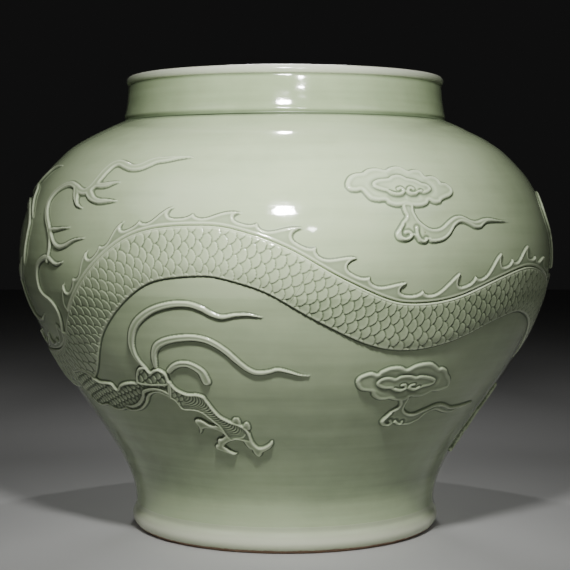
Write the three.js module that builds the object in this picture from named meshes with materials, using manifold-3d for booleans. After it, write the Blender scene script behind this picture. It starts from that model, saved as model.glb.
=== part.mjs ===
// A Korean jar of pale green celadon, with a dragon among clouds laid round it in raised relief.
// Millimetres, +Z up, origin at the middle of the foot, on the surface that the jar stands on.
//
// The jar is thrown in clay: two bowls luted rim to rim, a foot ring under them, a neck collar and
// a rounded lip on top. The relief is cut from thin sheets and rolls of clay and laid on the wall.
// A place on the wall is [azimuth, rise]: degrees from the front, positive towards +X, and
// millimetres measured up the wall from its widest line. A third number is a half width.
import * as THREE from 'three';
import { mergeVertices } from 'three/addons/utils/BufferGeometryUtils.js';
import Module from 'manifold-3d';

const wasm = await Module();
wasm.setup();

// Thrown wall
const BELLY_RADIUS = 262;
const BELLY_HEIGHT = 268;
const WAIST_RADIUS = 149;
const WAIST_HEIGHT = 24;
const NECK_FOOT_RADIUS = 160.5;
const NECK_FOOT_HEIGHT = 398.5;
const SEAM_HEIGHT = 240;
const WALL = 9;
const NECK_WALL = 8.5;
const NECK_TOP_RADIUS = 154.6;
const NECK_RISE = 35.5;
const LIP_RISE = 8.2;
const LIP_BULGE = 2;
const FOOT_BULGE = 3.6;
const FOOT_TOE_RADIUS = 147.2;
const FOOT_WIDTH = 13;
const RECESS = 10;
const FLOOR = 13;

// Relief
const SLIP = 0.3; // layer of slip left between two pieces of clay
const BODY = 3.2; // how proud of the wall each kind of relief stands
const CREST = 2.1;
const LIMB = 2.9;
const CLAW = 2.4;
const FLAME = 2.6;
const CLOUD = 2.4;
const FACE = 3.8;
const HEAD_SIZE = 1.3;
const EYE_RADIUS = 5;
const PEARL_RADIUS = 12;
const CREST_CHANNEL = 1.6; // groove between the body and its crest
const CREST_BAND = 5.5;
const HOOKS_FROM = 0.0208; // parts of the ridge's length at which the first and the last hook stand
const HOOKS_TO = 0.9683;
const SHORT_HOOK_SHARE = 0.67; // how far a short hook stands from one tall hook to the next
const TALL_HOOK = 16;
const SHORT_HOOK = 9;
const HOOK_LEAN = 8;
const STEP = 10; // longest stretch of a roll of clay that is left straight
const BODY_STEP = 12;
const SEGMENTS = 48;

const GLAZE = { color: '#b7c3ae', roughness: 0.16, metalness: 0 };
const NECK_GLAZE = { color: '#b2bfa8', roughness: 0.15, metalness: 0 };
const LIP_GLAZE = { color: '#c6cdb8', roughness: 0.18, metalness: 0 };
const FOOT_GLAZE = { color: '#c9c3ad', roughness: 0.3, metalness: 0 };
const RELIEF_GLAZE = { color: '#c1ccb7', roughness: 0.17, metalness: 0 };
const CREST_GLAZE = { color: '#c8d2be', roughness: 0.17, metalness: 0 };
const CLOUD_GLAZE = { color: '#c5cfba', roughness: 0.17, metalness: 0 };

// Outer profile, as parts of the way from waist to belly, then from belly to the neck's foot:
// [share of the spread, share of the rise]
const LOWER_CURVE = [
  [0, 0], [0.025, 0.082], [0.132, 0.195], [0.288, 0.314], [0.487, 0.453], [0.668, 0.58],
  [0.832, 0.725], [0.947, 0.869], [1, 1],
];
const UPPER_CURVE = [[0.054, 0.291], [0.217, 0.563], [0.493, 0.789], [0.798, 0.927], [1, 1]];

const outer = new THREE.SplineCurve([
  new THREE.Vector2(WAIST_RADIUS + FOOT_BULGE - 0.4, WAIST_HEIGHT * 0.46),
  ...LOWER_CURVE.map(([spread, rise]) => new THREE.Vector2(
    WAIST_RADIUS + (BELLY_RADIUS - WAIST_RADIUS) * spread,
    WAIST_HEIGHT + (BELLY_HEIGHT - WAIST_HEIGHT) * rise,
  )),
  ...UPPER_CURVE.map(([spread, rise]) => new THREE.Vector2(
    BELLY_RADIUS - (BELLY_RADIUS - NECK_FOOT_RADIUS) * spread,
    BELLY_HEIGHT + (NECK_FOOT_HEIGHT - BELLY_HEIGHT) * rise,
  )),
]);

// The profile walked in short steps, each with its length up the wall and its outward normal
const walk = outer.getPoints(560).map((point) => ({ radius: point.x, height: point.y }));
let travelled = 0;
walk.forEach((here, i) => {
  const before = walk[Math.max(i - 1, 0)];
  const after = walk[Math.min(i + 1, walk.length - 1)];
  const run = Math.hypot(after.radius - before.radius, after.height - before.height);
  travelled += Math.hypot(here.radius - before.radius, here.height - before.height);
  here.rise = travelled;
  here.outwards = (after.height - before.height) / run;
  here.upwards = (before.radius - after.radius) / run;
});
const belly = walk.reduce((widest, here) => (here.radius > widest.radius ? here : widest));
const bellyRise = belly.rise;
walk.forEach((here) => {
  here.rise -= bellyRise;
});

/** Blend of the two steps of the walk on either side of a value of the named measure. */
function along(measure, value) {
  const last = walk.findIndex((here) => here[measure] >= value);
  const b = walk[last < 1 ? walk.length - 1 : last];
  const a = last < 1 ? b : walk[last - 1];
  const share = b === a ? 0 : (value - a[measure]) / (b[measure] - a[measure]);
  const mix = (key) => a[key] + (b[key] - a[key]) * share;
  return {
    radius: mix('radius'), height: mix('height'), rise: mix('rise'),
    outwards: mix('outwards'), upwards: mix('upwards'),
  };
}

/** Millimetres that one degree round the wall spans at a rise. */
function degree(rise) {
  return THREE.MathUtils.degToRad(along('rise', rise).radius);
}

/** Point that stands proud of the wall at an azimuth and a rise. */
function onWall(azimuth, rise, proud) {
  const here = along('rise', rise);
  const angle = THREE.MathUtils.degToRad(azimuth);
  const radius = here.radius + proud * here.outwards;
  return new THREE.Vector3(
    radius * Math.sin(angle),
    -radius * Math.cos(angle),
    here.height + proud * here.upwards,
  );
}

/** Solid of revolution from a closed [radius, height] outline. */
function turned(outline) {
  const points = outline.map(([radius, height]) => new THREE.Vector2(radius, height));
  points.push(points[0].clone());
  return outwards(welded(new THREE.LatheGeometry(points, SEGMENTS).rotateX(Math.PI / 2)));
}

/** Geometry with its shared corners merged and nothing but positions. */
function welded(geometry) {
  const bare = geometry.index ? geometry.clone() : geometry;
  bare.deleteAttribute('normal');
  bare.deleteAttribute('uv');
  return mergeVertices(bare, 1e-4);
}

/** Geometry turned so that its faces point out, without faces that have shrunk to a line. */
function outwards(geometry) {
  const at = geometry.getAttribute('position');
  const [a, b, c] = [new THREE.Vector3(), new THREE.Vector3(), new THREE.Vector3()];
  const faces = [];
  let volume = 0;
  for (let i = 0; i < geometry.index.count; i += 3) {
    const face = [0, 1, 2].map((k) => geometry.index.getX(i + k));
    if (new Set(face).size === 3) {
      faces.push(face);
      [a, b, c].forEach((corner, k) => corner.fromBufferAttribute(at, face[k]));
      volume += a.dot(b.clone().cross(c));
    }
  }
  geometry.setIndex(faces.flatMap((face) => (volume < 0 ? [face[0], face[2], face[1]] : face)));
  return geometry;
}

/** Closed slab on the wall. rows[i][j] is [azimuth, rise, proud]; its underside is at bed. */
function slab(rows, bed = SLIP) {
  const across = rows[0].length;
  const top = rows.flatMap((row) => row.map(([azimuth, rise, proud]) => onWall(azimuth, rise, proud)));
  const under = rows.flatMap((row) => row.map(([azimuth, rise]) => onWall(azimuth, rise, bed)));
  const low = top.length;
  const index = [];
  const quad = (a, b, c, d) => index.push(a, b, c, a, c, d);
  const at = (i, j) => i * across + j;
  const end = rows.length - 1;
  for (let i = 0; i < end; i += 1) {
    for (let j = 0; j < across - 1; j += 1) {
      quad(at(i, j), at(i + 1, j), at(i + 1, j + 1), at(i, j + 1));
      quad(low + at(i, j + 1), low + at(i + 1, j + 1), low + at(i + 1, j), low + at(i, j));
    }
    quad(low + at(i, 0), low + at(i + 1, 0), at(i + 1, 0), at(i, 0));
    quad(at(i, across - 1), at(i + 1, across - 1), low + at(i + 1, across - 1), low + at(i, across - 1));
  }
  for (let j = 0; j < across - 1; j += 1) {
    quad(at(0, j), at(0, j + 1), low + at(0, j + 1), low + at(0, j));
    quad(at(end, j + 1), at(end, j), low + at(end, j), low + at(end, j + 1));
  }
  const geometry = new THREE.BufferGeometry().setFromPoints([...top, ...under]);
  geometry.setIndex(index);
  return outwards(geometry);
}

/** Smooth line through [azimuth, rise, half width] points, in steps of about STEP millimetres. */
function traced(points, step = STEP) {
  const curve = new THREE.SplineCurve(points.map(([azimuth, rise]) => new THREE.Vector2(azimuth, rise)));
  const widths = new THREE.SplineCurve(points.map(([, , half], i) => new THREE.Vector2(i, half)));
  const fine = Array.from({ length: points.length * 12 - 11 }, (_, i) => {
    const t = i / (points.length * 12 - 12);
    const place = curve.getPoint(t);
    return { azimuth: place.x, rise: place.y, half: widths.getPoint(t).y };
  });
  let gone = 0;
  fine.forEach((here, i) => {
    const before = fine[Math.max(i - 1, 0)];
    const after = fine[Math.min(i + 1, fine.length - 1)];
    const scale = degree(here.rise);
    const x = (after.azimuth - before.azimuth) * scale;
    const y = after.rise - before.rise;
    gone += Math.hypot((here.azimuth - before.azimuth) * scale, here.rise - before.rise);
    Object.assign(here, { gone, scale, east: x / Math.hypot(x, y), north: y / Math.hypot(x, y) });
  });
  return { fine, length: gone, count: Math.max(2, Math.ceil(gone / step)) };
}

/** Place beside a traced line: gone millimetres along it and aside millimetres to its upper side. */
function beside(line, gone, aside) {
  const last = Math.max(1, line.fine.findIndex((here) => here.gone >= gone));
  const b = gone >= line.length ? line.fine.at(-1) : line.fine[last];
  const a = gone >= line.length ? b : line.fine[last - 1];
  const share = a === b ? 0 : (gone - a.gone) / (b.gone - a.gone);
  const mix = (key) => a[key] + (b[key] - a[key]) * share;
  return [mix('azimuth') + (aside * mix('north')) / mix('scale'), mix('rise') - aside * mix('east')];
}

function halfAt(line, gone) {
  const found = line.fine.find((here) => here.gone >= gone);
  return (found ?? line.fine.at(-1)).half;
}

/** Roll of clay along a line, with sloping sides and a flat crown. */
function roll(points, proud, { bed = SLIP, step = STEP } = {}) {
  const line = traced(points, step);
  const stations = Array.from({ length: line.count + 1 }, (_, i) => (line.length * i) / line.count);
  const rib = (gone) => [-1, 0, 1].map((side) => {
    const half = Math.max(halfAt(line, gone), 0.5);
    return [...beside(line, gone, side * half), bed + (side === 0 ? proud : proud * 0.35)];
  });
  return slab(stations.map(rib), bed);
}

/** Sheet of clay between two edges of as many points, with a height for each share across. */
function sheet(upper, lower, shares, { bed = SLIP } = {}) {
  return slab(upper.map(([azimuth, rise], i) => shares.map(([share, proud]) => [
    azimuth + (lower[i][0] - azimuth) * share,
    rise + (lower[i][1] - rise) * share,
    bed + proud,
  ])), bed);
}

function solid(geometry) {
  const at = geometry.getAttribute('position');
  return new wasm.Manifold(new wasm.Mesh({
    numProp: 3,
    vertProperties: new Float32Array(at.array),
    triVerts: new Uint32Array(geometry.index.array),
  }));
}

function unpacked(body) {
  const mesh = body.getMesh();
  const geometry = new THREE.BufferGeometry();
  geometry.setAttribute('position', new THREE.BufferAttribute(mesh.vertProperties, 3));
  geometry.setIndex(new THREE.BufferAttribute(mesh.triVerts, 1));
  return geometry;
}

/** One body from several that run into each other. */
function joined(...geometries) {
  return unpacked(geometries.map(solid).reduce((whole, next) => whole.add(next)));
}

/** A body with the room that other pieces need cut out of it. */
function carved(geometry, ...rooms) {
  return unpacked(rooms.map(solid).reduce((whole, room) => whole.subtract(room), solid(geometry)));
}

/** Points of a motif carried to another place on the wall, mirrored, turned or made smaller. */
function carried(points, { from, to, flip = false, turn = 0, size = 1 }) {
  const angle = THREE.MathUtils.degToRad(turn);
  return points.map(([azimuth, rise, half]) => {
    const x = (azimuth - from[0]) * degree(from[1]) * size * (flip ? -1 : 1);
    const y = (rise - from[1]) * size;
    return [
      to[0] + (x * Math.cos(angle) - y * Math.sin(angle)) / degree(to[1]),
      to[1] + x * Math.sin(angle) + y * Math.cos(angle),
      (half ?? 0) * size,
    ];
  });
}

const group = new THREE.Group();

function place(name, geometry, finish) {
  const mesh = new THREE.Mesh(geometry, new THREE.MeshStandardMaterial(finish));
  mesh.name = name;
  group.add(mesh);
}

// Thrown pieces: the wall is followed outside and WALL inside it
function insideAt(height) {
  const ring = walk.map((here) => [
    here.radius - WALL * here.outwards,
    here.height - WALL * here.upwards,
  ]);
  const i = Math.max(1, ring.findIndex(([, level]) => level >= height));
  const share = (height - ring[i - 1][1]) / (ring[i][1] - ring[i - 1][1]);
  return ring[i - 1][0] + (ring[i][0] - ring[i - 1][0]) * share;
}

function outsideRun(from, to, count) {
  const [low, high] = [from, to].map((height) => along('height', height).rise);
  return Array.from({ length: count + 1 }, (_, i) => {
    const here = along('rise', low + ((high - low) * i) / count);
    return [here.radius, here.height];
  });
}

function insideRun(from, to, count) {
  return Array.from({ length: count + 1 }, (_, i) => {
    const height = from + ((to - from) * i) / count;
    return [insideAt(height), height];
  });
}

const footBore = FOOT_TOE_RADIUS - FOOT_WIDTH;
const floorTop = RECESS + FLOOR;
const neckTop = NECK_FOOT_HEIGHT + NECK_RISE;
const neckBore = NECK_TOP_RADIUS - NECK_WALL;

place('foot_ring', turned([
  [footBore, 0],
  [FOOT_TOE_RADIUS, 0],
  [FOOT_TOE_RADIUS + 3, WAIST_HEIGHT * 0.17],
  [WAIST_RADIUS + FOOT_BULGE - 0.8, WAIST_HEIGHT * 0.3],
  [WAIST_RADIUS + FOOT_BULGE, WAIST_HEIGHT * 0.46],
  [WAIST_RADIUS + FOOT_BULGE * 0.7, WAIST_HEIGHT * 0.75],
  [WAIST_RADIUS, WAIST_HEIGHT],
  [footBore, WAIST_HEIGHT],
]), FOOT_GLAZE);

place('lower_bowl', turned([
  [0, RECESS],
  [footBore - SLIP, RECESS],
  [footBore - SLIP, WAIST_HEIGHT],
  ...outsideRun(WAIST_HEIGHT, SEAM_HEIGHT, 12),
  ...insideRun(WAIST_HEIGHT * 2, SEAM_HEIGHT, 5).reverse(),
  [WAIST_RADIUS - 2 * WALL, floorTop + 5],
  [WAIST_RADIUS - 5 * WALL, floorTop],
  [0, floorTop],
]), GLAZE);

place('upper_bowl', turned([
  ...outsideRun(SEAM_HEIGHT, NECK_FOOT_HEIGHT, 11),
  [neckBore + 2, NECK_FOOT_HEIGHT],
  [neckBore + 2.5, NECK_FOOT_HEIGHT - WALL * 0.6],
  ...insideRun(SEAM_HEIGHT, NECK_FOOT_HEIGHT - WALL, 6).reverse(),
]), GLAZE);

place('neck_collar', turned([
  [neckBore + 2, NECK_FOOT_HEIGHT],
  [NECK_FOOT_RADIUS - 0.9, NECK_FOOT_HEIGHT],
  [NECK_TOP_RADIUS + 3.7, NECK_FOOT_HEIGHT + NECK_RISE * 0.18],
  [NECK_TOP_RADIUS + 1.4, NECK_FOOT_HEIGHT + NECK_RISE * 0.55],
  [NECK_TOP_RADIUS, neckTop],
  [neckBore, neckTop],
  [neckBore + 0.6, NECK_FOOT_HEIGHT + NECK_RISE * 0.5],
]), NECK_GLAZE);

place('lip_roll', turned([
  [neckBore, neckTop],
  [NECK_TOP_RADIUS, neckTop],
  [NECK_TOP_RADIUS + LIP_BULGE * 0.8, neckTop + LIP_RISE * 0.2],
  [NECK_TOP_RADIUS + LIP_BULGE, neckTop + LIP_RISE * 0.5],
  [NECK_TOP_RADIUS + LIP_BULGE * 0.5, neckTop + LIP_RISE * 0.82],
  [NECK_TOP_RADIUS - 1.8, neckTop + LIP_RISE],
  [NECK_TOP_RADIUS - 5, neckTop + LIP_RISE],
  [neckBore + 0.6, neckTop + LIP_RISE * 0.8],
  [neckBore - 0.2, neckTop + LIP_RISE * 0.4],
]), LIP_GLAZE);

// Dragon's body: one tapering line from the tail, round the front and up the neck
const SPINE = [
  [152, 14, 6], [149, -8, 10], [143, -36, 13.5], [136, -62, 16], [127, -86, 18], [117, -102, 19],
  [106, -108, 20], [96, -104, 21], [87, -91, 21.5], [80, -73, 21.5], [74, -54, 21.5],
  [68, -40, 21.5], [61.2, -31, 21.2], [55.2, -28.3, 21.3], [46.3, -36.5, 21], [36.1, -51.7, 21.5],
  [27, -57.6, 22.3], [18.8, -53, 21.8], [7.8, -30.1, 21], [-1.9, -4.9, 20.6], [-10.9, 8.3, 21],
  [-15.3, 10.4, 21], [-24.1, 7.5, 21.7], [-30, -1.5, 22], [-37, -23.8, 21.3], [-44.2, -53, 21],
  [-48, -73, 21.5], [-52.3, -94, 22], [-58.5, -107.5, 21.5], [-66, -113, 21.5], [-75, -114, 21],
  [-84, -112, 20], [-92, -103, 19], [-99, -86, 18], [-103, -64, 17], [-105, -40, 16.5],
  [-107, -17, 16], [-110.5, 6, 15.5], [-113, 24, 15],
];
const BODY_SHARES = [[0, 0.7], [0.33, 0.92], [0.67, 1], [1, 0.8]];
const spine = traced(SPINE, BODY_STEP);

/** How far along the spine an azimuth is reached. */
function spineTo(azimuth) {
  return spine.fine.find((here) => here.azimuth <= azimuth).gone;
}

function bodyStretch(from, to) {
  const count = Math.ceil((to - from) / BODY_STEP);
  const upper = [];
  const lower = [];
  for (let i = 0; i <= count; i += 1) {
    const gone = from + SLIP / 2 + ((to - from - SLIP) * i) / count;
    const half = halfAt(spine, gone);
    upper.push(beside(spine, gone, half));
    lower.push(beside(spine, gone, -half));
  }
  return sheet(upper, lower, BODY_SHARES.map(([share, proud]) => [share, proud * BODY]), {
    bed: SLIP * 1.2,
  });
}

// Hooked crest along the back: a plain band with a tall and a short hook in turn, leaning to the tail
const ridge = { fine: [], length: 0 };
spine.fine.forEach((here) => {
  const [azimuth, rise] = beside(spine, here.gone, here.half + CREST_CHANNEL);
  const before = ridge.fine.at(-1);
  const scale = degree(rise);
  const stepped = before ? Math.hypot((azimuth - before.azimuth) * scale, rise - before.rise) : 1;
  if (stepped > 0.2) {
    ridge.length += before ? stepped : 0;
    ridge.fine.push({ azimuth, rise, scale, gone: ridge.length, east: here.east, north: here.north });
  }
});

// Steps from one tall hook to the next, from the tail to the head, as parts of the whole row
const HOOK_STEPS = [
  50, 50, 50, 50, 50, 49, 49, 49, 41, 44, 52, 59, 56, 52, 49, 50, 50, 45, 43, 62, 50, 50, 50, 50, 50,
];
const wholeRow = HOOK_STEPS.reduce((sum, step) => sum + step, 0);

/** How far along the ridge a hook stands. Hooks are counted from the tail, and even ones are tall. */
function hookAt(hook) {
  const before = Math.floor(hook / 2);
  const share = hook % 2 === 1 ? SHORT_HOOK_SHARE : (hook % 2) / 2;
  const steps = HOOK_STEPS.slice(0, before).reduce((sum, step) => sum + step, 0);
  const passed = (steps + share * (HOOK_STEPS[before] ?? 0)) / wholeRow;
  return ridge.length * (HOOKS_FROM + (HOOKS_TO - HOOKS_FROM) * passed);
}

/** Place on the ridge halfway between a hook and the one before it. */
function betweenHooks(hook) {
  return hook === 0 ? hookAt(0) - HOOK_LEAN * 1.5 : (hookAt(hook - 1) + hookAt(hook)) / 2;
}

/** Stretch of the crest from one hook to another. */
function crestStretch(first, last) {
  const rows = [];
  const row = (foot, top, height) => {
    const [a, b] = [beside(ridge, foot, 0), beside(ridge, top, height)];
    rows.push([0, 0.45, 1].map((share) => [
      a[0] + (b[0] - a[0]) * share,
      a[1] + (b[1] - a[1]) * share,
      SLIP + CREST * (1 - 0.4 * share),
    ]));
  };
  for (let hook = first; hook <= last; hook += 1) {
    const peak = hookAt(hook);
    const height = hook % 2 === 0 ? TALL_HOOK : SHORT_HOOK;
    row(betweenHooks(hook), betweenHooks(hook), CREST_BAND);
    row(peak - 3, peak - HOOK_LEAN, height);
    if (height === TALL_HOOK) row(peak + 4, peak + 3, CREST_BAND + (height - CREST_BAND) * 0.42);
  }
  const close = (last < 50 ? betweenHooks(last + 1) : hookAt(last) + HOOK_LEAN * 1.5) - SLIP;
  row(close, close, CREST_BAND);
  return slab(rows);
}

// Leg: an upper arm with a lobed elbow, a forearm that narrows to a palm, and three claws
const ARM_TOP = [
  [-61, -114], [-58, -109], [-55.3, -107.6], [-51.5, -110.5], [-48.8, -120], [-45, -118.9],
  [-43.4, -122.2], [-40.1, -116.7], [-35.6, -114.4], [-34.5, -104.4], [-32.6, -97.4],
  [-30.4, -101.2], [-28, -99.2], [-26.3, -106],
];
const ARM_LOW = [
  [-61, -128], [-59.5, -135], [-57.4, -141], [-54, -147], [-50.5, -145.6], [-47.6, -148.3],
  [-45, -149.5], [-42, -147.8], [-38.4, -145.8], [-35.5, -140], [-33.4, -131], [-31.4, -125.5],
  [-29, -125], [-26.6, -130],
];
const FORE_TOP = [
  [-25.6, -112.5], [-22.6, -119.3], [-19.2, -122.8], [-18.2, -129], [-17.9, -136],
  [-16.7, -143.5], [-15.2, -149.8], [-12.5, -156], [-10.4, -160.2], [-9.2, -166.5],
  [-9.1, -173], [-9.6, -178],
];
const FORE_LOW = [
  [-25.9, -130.5], [-25.4, -136], [-24.4, -141.4], [-22.4, -143.2], [-20.6, -145.8],
  [-19.2, -150], [-18, -155], [-17.2, -160], [-16.9, -164.8], [-16, -169], [-16, -173.5],
  [-14.5, -177.5],
];
const CLAWS = [
  [[-11, -170, 5], [-9.6, -179, 5], [-8.2, -186, 4.4], [-6.5, -187, 3.3], [-5, -182.5, 2.4],
    [-3.7, -177.5, 0.6]],
  [[-14.5, -163, 3.6], [-17.5, -161, 3], [-20, -159.4, 3.2], [-21.8, -158.5, 3], [-22.6, -162, 2],
    [-22.2, -167, 0.6]],
  [[-14.8, -171, 3.6], [-16.6, -177, 3.4], [-17.8, -184, 3.4], [-16.8, -187.5, 2.6],
    [-15.2, -190.6, 2], [-13.4, -191, 0.6]],
];
const LIMB_SHARES = [[0, LIMB * 0.75], [0.5, LIMB], [1, LIMB * 0.8]];
const ROOT = [-61, -121];
const STAY = { from: ROOT, to: ROOT };
const LEGS = {
  near_foreleg: STAY,
  far_foreleg: { from: ROOT, to: [-89, -124], flip: true },
  near_hindleg: { from: ROOT, to: [104, -122], turn: -13 },
  far_hindleg: { from: ROOT, to: [97, -124], flip: true, turn: 24, size: 0.6 },
};

function upperLeg(move) {
  return sheet(carried(ARM_TOP, move), carried(ARM_LOW, move), LIMB_SHARES);
}

/** Room round an upper leg, a slip layer wider and deeper than the leg itself. */
function legRoom(move) {
  const grow = (points, up) => points.map(([azimuth, rise], i) => [
    azimuth + (i === 0 ? -0.25 : 0),
    rise + up * SLIP * 3,
  ]);
  return sheet(
    carried(grow(ARM_TOP, 1), move),
    carried(grow(ARM_LOW, -1), move),
    LIMB_SHARES.map(([share]) => [share, 3 * BODY]),
    { bed: -2 * SLIP },
  );
}

function lowerLeg(move) {
  return joined(
    sheet(carried(FORE_TOP, move), carried(FORE_LOW, move), LIMB_SHARES),
    ...CLAWS.map((claw, i) => roll(carried(claw, move), CLAW, { bed: SLIP * (1.4 + 0.3 * i), step: 8 })),
  );
}

const BODY_CUTS = { tail: 0, haunch: 124, loins: 67, trunk: 3, chest: -47, neck: -80 };
const cut = Object.fromEntries(Object.entries(BODY_CUTS).map(([name, azimuth]) => [
  name,
  azimuth === 0 ? 0 : spineTo(azimuth),
]));
const hindRooms = [legRoom(LEGS.near_hindleg), legRoom(LEGS.far_hindleg)];
place('dragon_tail', bodyStretch(cut.tail, cut.haunch), RELIEF_GLAZE);
place('dragon_haunch', carved(bodyStretch(cut.haunch, cut.loins), ...hindRooms), RELIEF_GLAZE);
place('dragon_loins', bodyStretch(cut.loins, cut.trunk), RELIEF_GLAZE);
place('dragon_trunk', bodyStretch(cut.trunk, cut.chest), RELIEF_GLAZE);
place('dragon_chest', carved(bodyStretch(cut.chest, cut.neck), legRoom(LEGS.near_foreleg)), RELIEF_GLAZE);

Object.entries({
  crest_tail: [0, 6], crest_haunch: [7, 15], crest_loins: [16, 24], crest_trunk: [25, 38],
  crest_chest: [40, 43], crest_neck: [44, 50],
}).forEach(([name, [first, last]]) => place(name, crestStretch(first, last), CREST_GLAZE));

Object.entries(LEGS).forEach(([name, move]) => {
  place(`${name}_upper`, upperLeg(move), RELIEF_GLAZE);
  place(`${name}_lower`, lowerLeg(move), RELIEF_GLAZE);
});

// Head, facing -X at the back left. Points are [forward, up, half width] from the eye, in
// millimetres at HEAD_SIZE 1.
const EYE = [-119, 36];

function fromEye(points) {
  return points.map(([forward, up, half]) => [
    EYE[0] - (forward * HEAD_SIZE) / degree(EYE[1]),
    EYE[1] + up * HEAD_SIZE,
    (half ?? 0) * HEAD_SIZE,
  ]);
}

const FACE_TOP = [
  [-28, 3], [-24, 12], [-15, 16], [-5, 18], [4, 16], [12, 11], [22, 8.5], [32, 10], [40, 15],
  [48, 15.5], [54, 11], [57, 6],
];
const FACE_LOW = [
  [-29, -4], [-26, -14], [-18, -20], [-9, -21], [-1, -17], [6, -12], [14, -7], [23, -4],
  [32, -1.5], [41, 0], [49, 0.5], [55, 2],
];
const JAW_TOP = [[-6, -23.5], [4, -19], [14, -15], [24, -12], [34, -9.5], [43, -7], [49, -3]];
const JAW_LOW = [[-9, -30], [2, -30], [14, -26], [25, -22.5], [35, -19], [45, -14.5], [51, -7]];
const HORN = [
  [-6, 21, 2.8], [-18, 28, 3.4], [-32, 33, 3.2], [-46, 36, 2.6], [-58, 42, 1.8], [-68, 51, 0.5],
];
const TINE = [[-33, 34, 2.2], [-38, 42, 2.2], [-46, 49, 1.8], [-54, 52, 0.5]];
const SHORT_HORN = [[4, 19, 2.4], [0, 28, 2.8], [-6, 38, 2.6], [-16, 46, 2], [-27, 50, 0.5]];
const EAR = [[-29, 13, 2], [-36, 19, 3.4], [-45, 22, 3], [-54, 21, 0.6]];
const WHISKER = [
  [56, 15, 1.3], [61, 21, 1.6], [62, 29, 1.6], [56, 35, 1.5], [48, 34, 1.2], [45, 28, 0.5],
];
const BEARD = [[4, -33, 2.6], [10, -42, 3.2], [8, -54, 2.8], [-2, -63, 2], [-14, -66, 0.6]];
const BEARD_TIP = [[26, -25, 2], [31, -35, 2.6], [27, -46, 2.2], [17, -55, 0.6]];
const FACE_SHARES = [[0, FACE * 0.6], [0.33, FACE * 0.95], [0.67, FACE], [1, FACE * 0.6]];

/** Room round the head, a slip layer wider and deeper than the head itself. */
function headRoom(top, low) {
  const grow = (points, up) => fromEye(points).map(([azimuth, rise], i) => [
    azimuth + (i === 0 ? 0.25 : 0),
    rise + up * SLIP * 3,
  ]);
  return sheet(grow(top, 1), grow(low, -1), FACE_SHARES.map(([share]) => [share, 3 * FACE]), {
    bed: -2 * SLIP,
  });
}

place('dragon_neck', carved(
  bodyStretch(cut.neck, spine.length),
  legRoom(LEGS.far_foreleg),
  headRoom(FACE_TOP, FACE_LOW),
  headRoom(JAW_TOP, JAW_LOW),
), RELIEF_GLAZE);
place('dragon_face', sheet(fromEye(FACE_TOP), fromEye(FACE_LOW), FACE_SHARES), RELIEF_GLAZE);
place('dragon_jaw', sheet(fromEye(JAW_TOP), fromEye(JAW_LOW), LIMB_SHARES), RELIEF_GLAZE);
place('horn_long', joined(
  roll(fromEye(HORN), FLAME + 0.4),
  roll(fromEye(TINE), FLAME, { bed: SLIP * 1.4 }),
), CREST_GLAZE);
place('horn_short', roll(fromEye(SHORT_HORN), FLAME), CREST_GLAZE);
place('dragon_ear', roll(fromEye(EAR), FLAME), RELIEF_GLAZE);
place('whisker', roll(fromEye(WHISKER), FLAME * 0.8), CREST_GLAZE);
place('beard', roll(fromEye(BEARD), FLAME), CREST_GLAZE);
place('beard_tip', roll(fromEye(BEARD_TIP), FLAME), CREST_GLAZE);

/** Low dome that stands on the wall, or over another piece of relief. */
function dome(azimuth, rise, radius, bed, proud) {
  const profile = [
    [0, 0], [radius, 0], [radius * 0.92, proud * 0.5], [radius * 0.6, proud * 0.87], [0, proud],
  ];
  const points = profile.map(([out, up]) => new THREE.Vector2(out, up));
  const geometry = outwards(welded(new THREE.LatheGeometry([...points, points[0]], 14)));
  const base = onWall(azimuth, rise, bed);
  const up = onWall(azimuth, rise, bed + 1).sub(base);
  geometry.applyQuaternion(new THREE.Quaternion().setFromUnitVectors(new THREE.Vector3(0, 1, 0), up));
  return geometry.translate(base.x, base.y, base.z);
}

place('dragon_eye', dome(...EYE, EYE_RADIUS, SLIP + FACE + 0.4, 2), CREST_GLAZE);

// Locks of the mane stream back from the head and the neck, as far as the front's left edge
const MANE = {
  mane_top: [
    [[-63.4, 92.4, 0.5], [-66, 91.2, 2], [-68.8, 88.4, 2.6], [-71.6, 82, 3], [-75.4, 73, 3.2],
      [-82, 67, 3.6], [-89, 60, 3.8], [-96, 51, 3.6], [-102, 44, 3], [-107.5, 40, 2]],
    [[-65.2, 37, 0.5], [-67.5, 46.3, 2], [-70, 56.4, 2.6], [-71.6, 64.9, 2.8], [-75.2, 71, 2.6]],
  ],
  mane_middle: [
    [[-68.2, -8, 0.5], [-67.3, 3, 2], [-66.9, 12.9, 2.4], [-66.4, 24.2, 2.6], [-66.8, 33, 2.8],
      [-70, 44, 3], [-75, 52, 3.2], [-80.5, 54, 3.4], [-86.5, 48, 3.7], [-93, 38, 3.8],
      [-100, 32, 3.2], [-106.5, 29, 2.2]],
  ],
  mane_low: [
    [[-70.5, 0, 0.5], [-71.6, -8, 2], [-74.6, -17, 2.8], [-79.5, -21, 3.2], [-85, -14, 3.4],
      [-90, -2, 3.4], [-96, 8, 3.4], [-101, 13, 2.8], [-105.5, 15, 2]],
    [[-78, -19, 1.8], [-78.4, -32, 2.4], [-77, -44, 2.6], [-74, -54, 2.6], [-70, -60, 2.4],
      [-66, -60, 2], [-63.2, -54, 0.5]],
  ],
};
Object.entries(MANE).forEach(([name, [main, ...locks]]) => {
  const rolls = [roll(main, FLAME), ...locks.map((lock) => roll(lock, FLAME - 0.3, { bed: SLIP * 1.4 }))];
  place(name, joined(...rolls), CREST_GLAZE);
});

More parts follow.
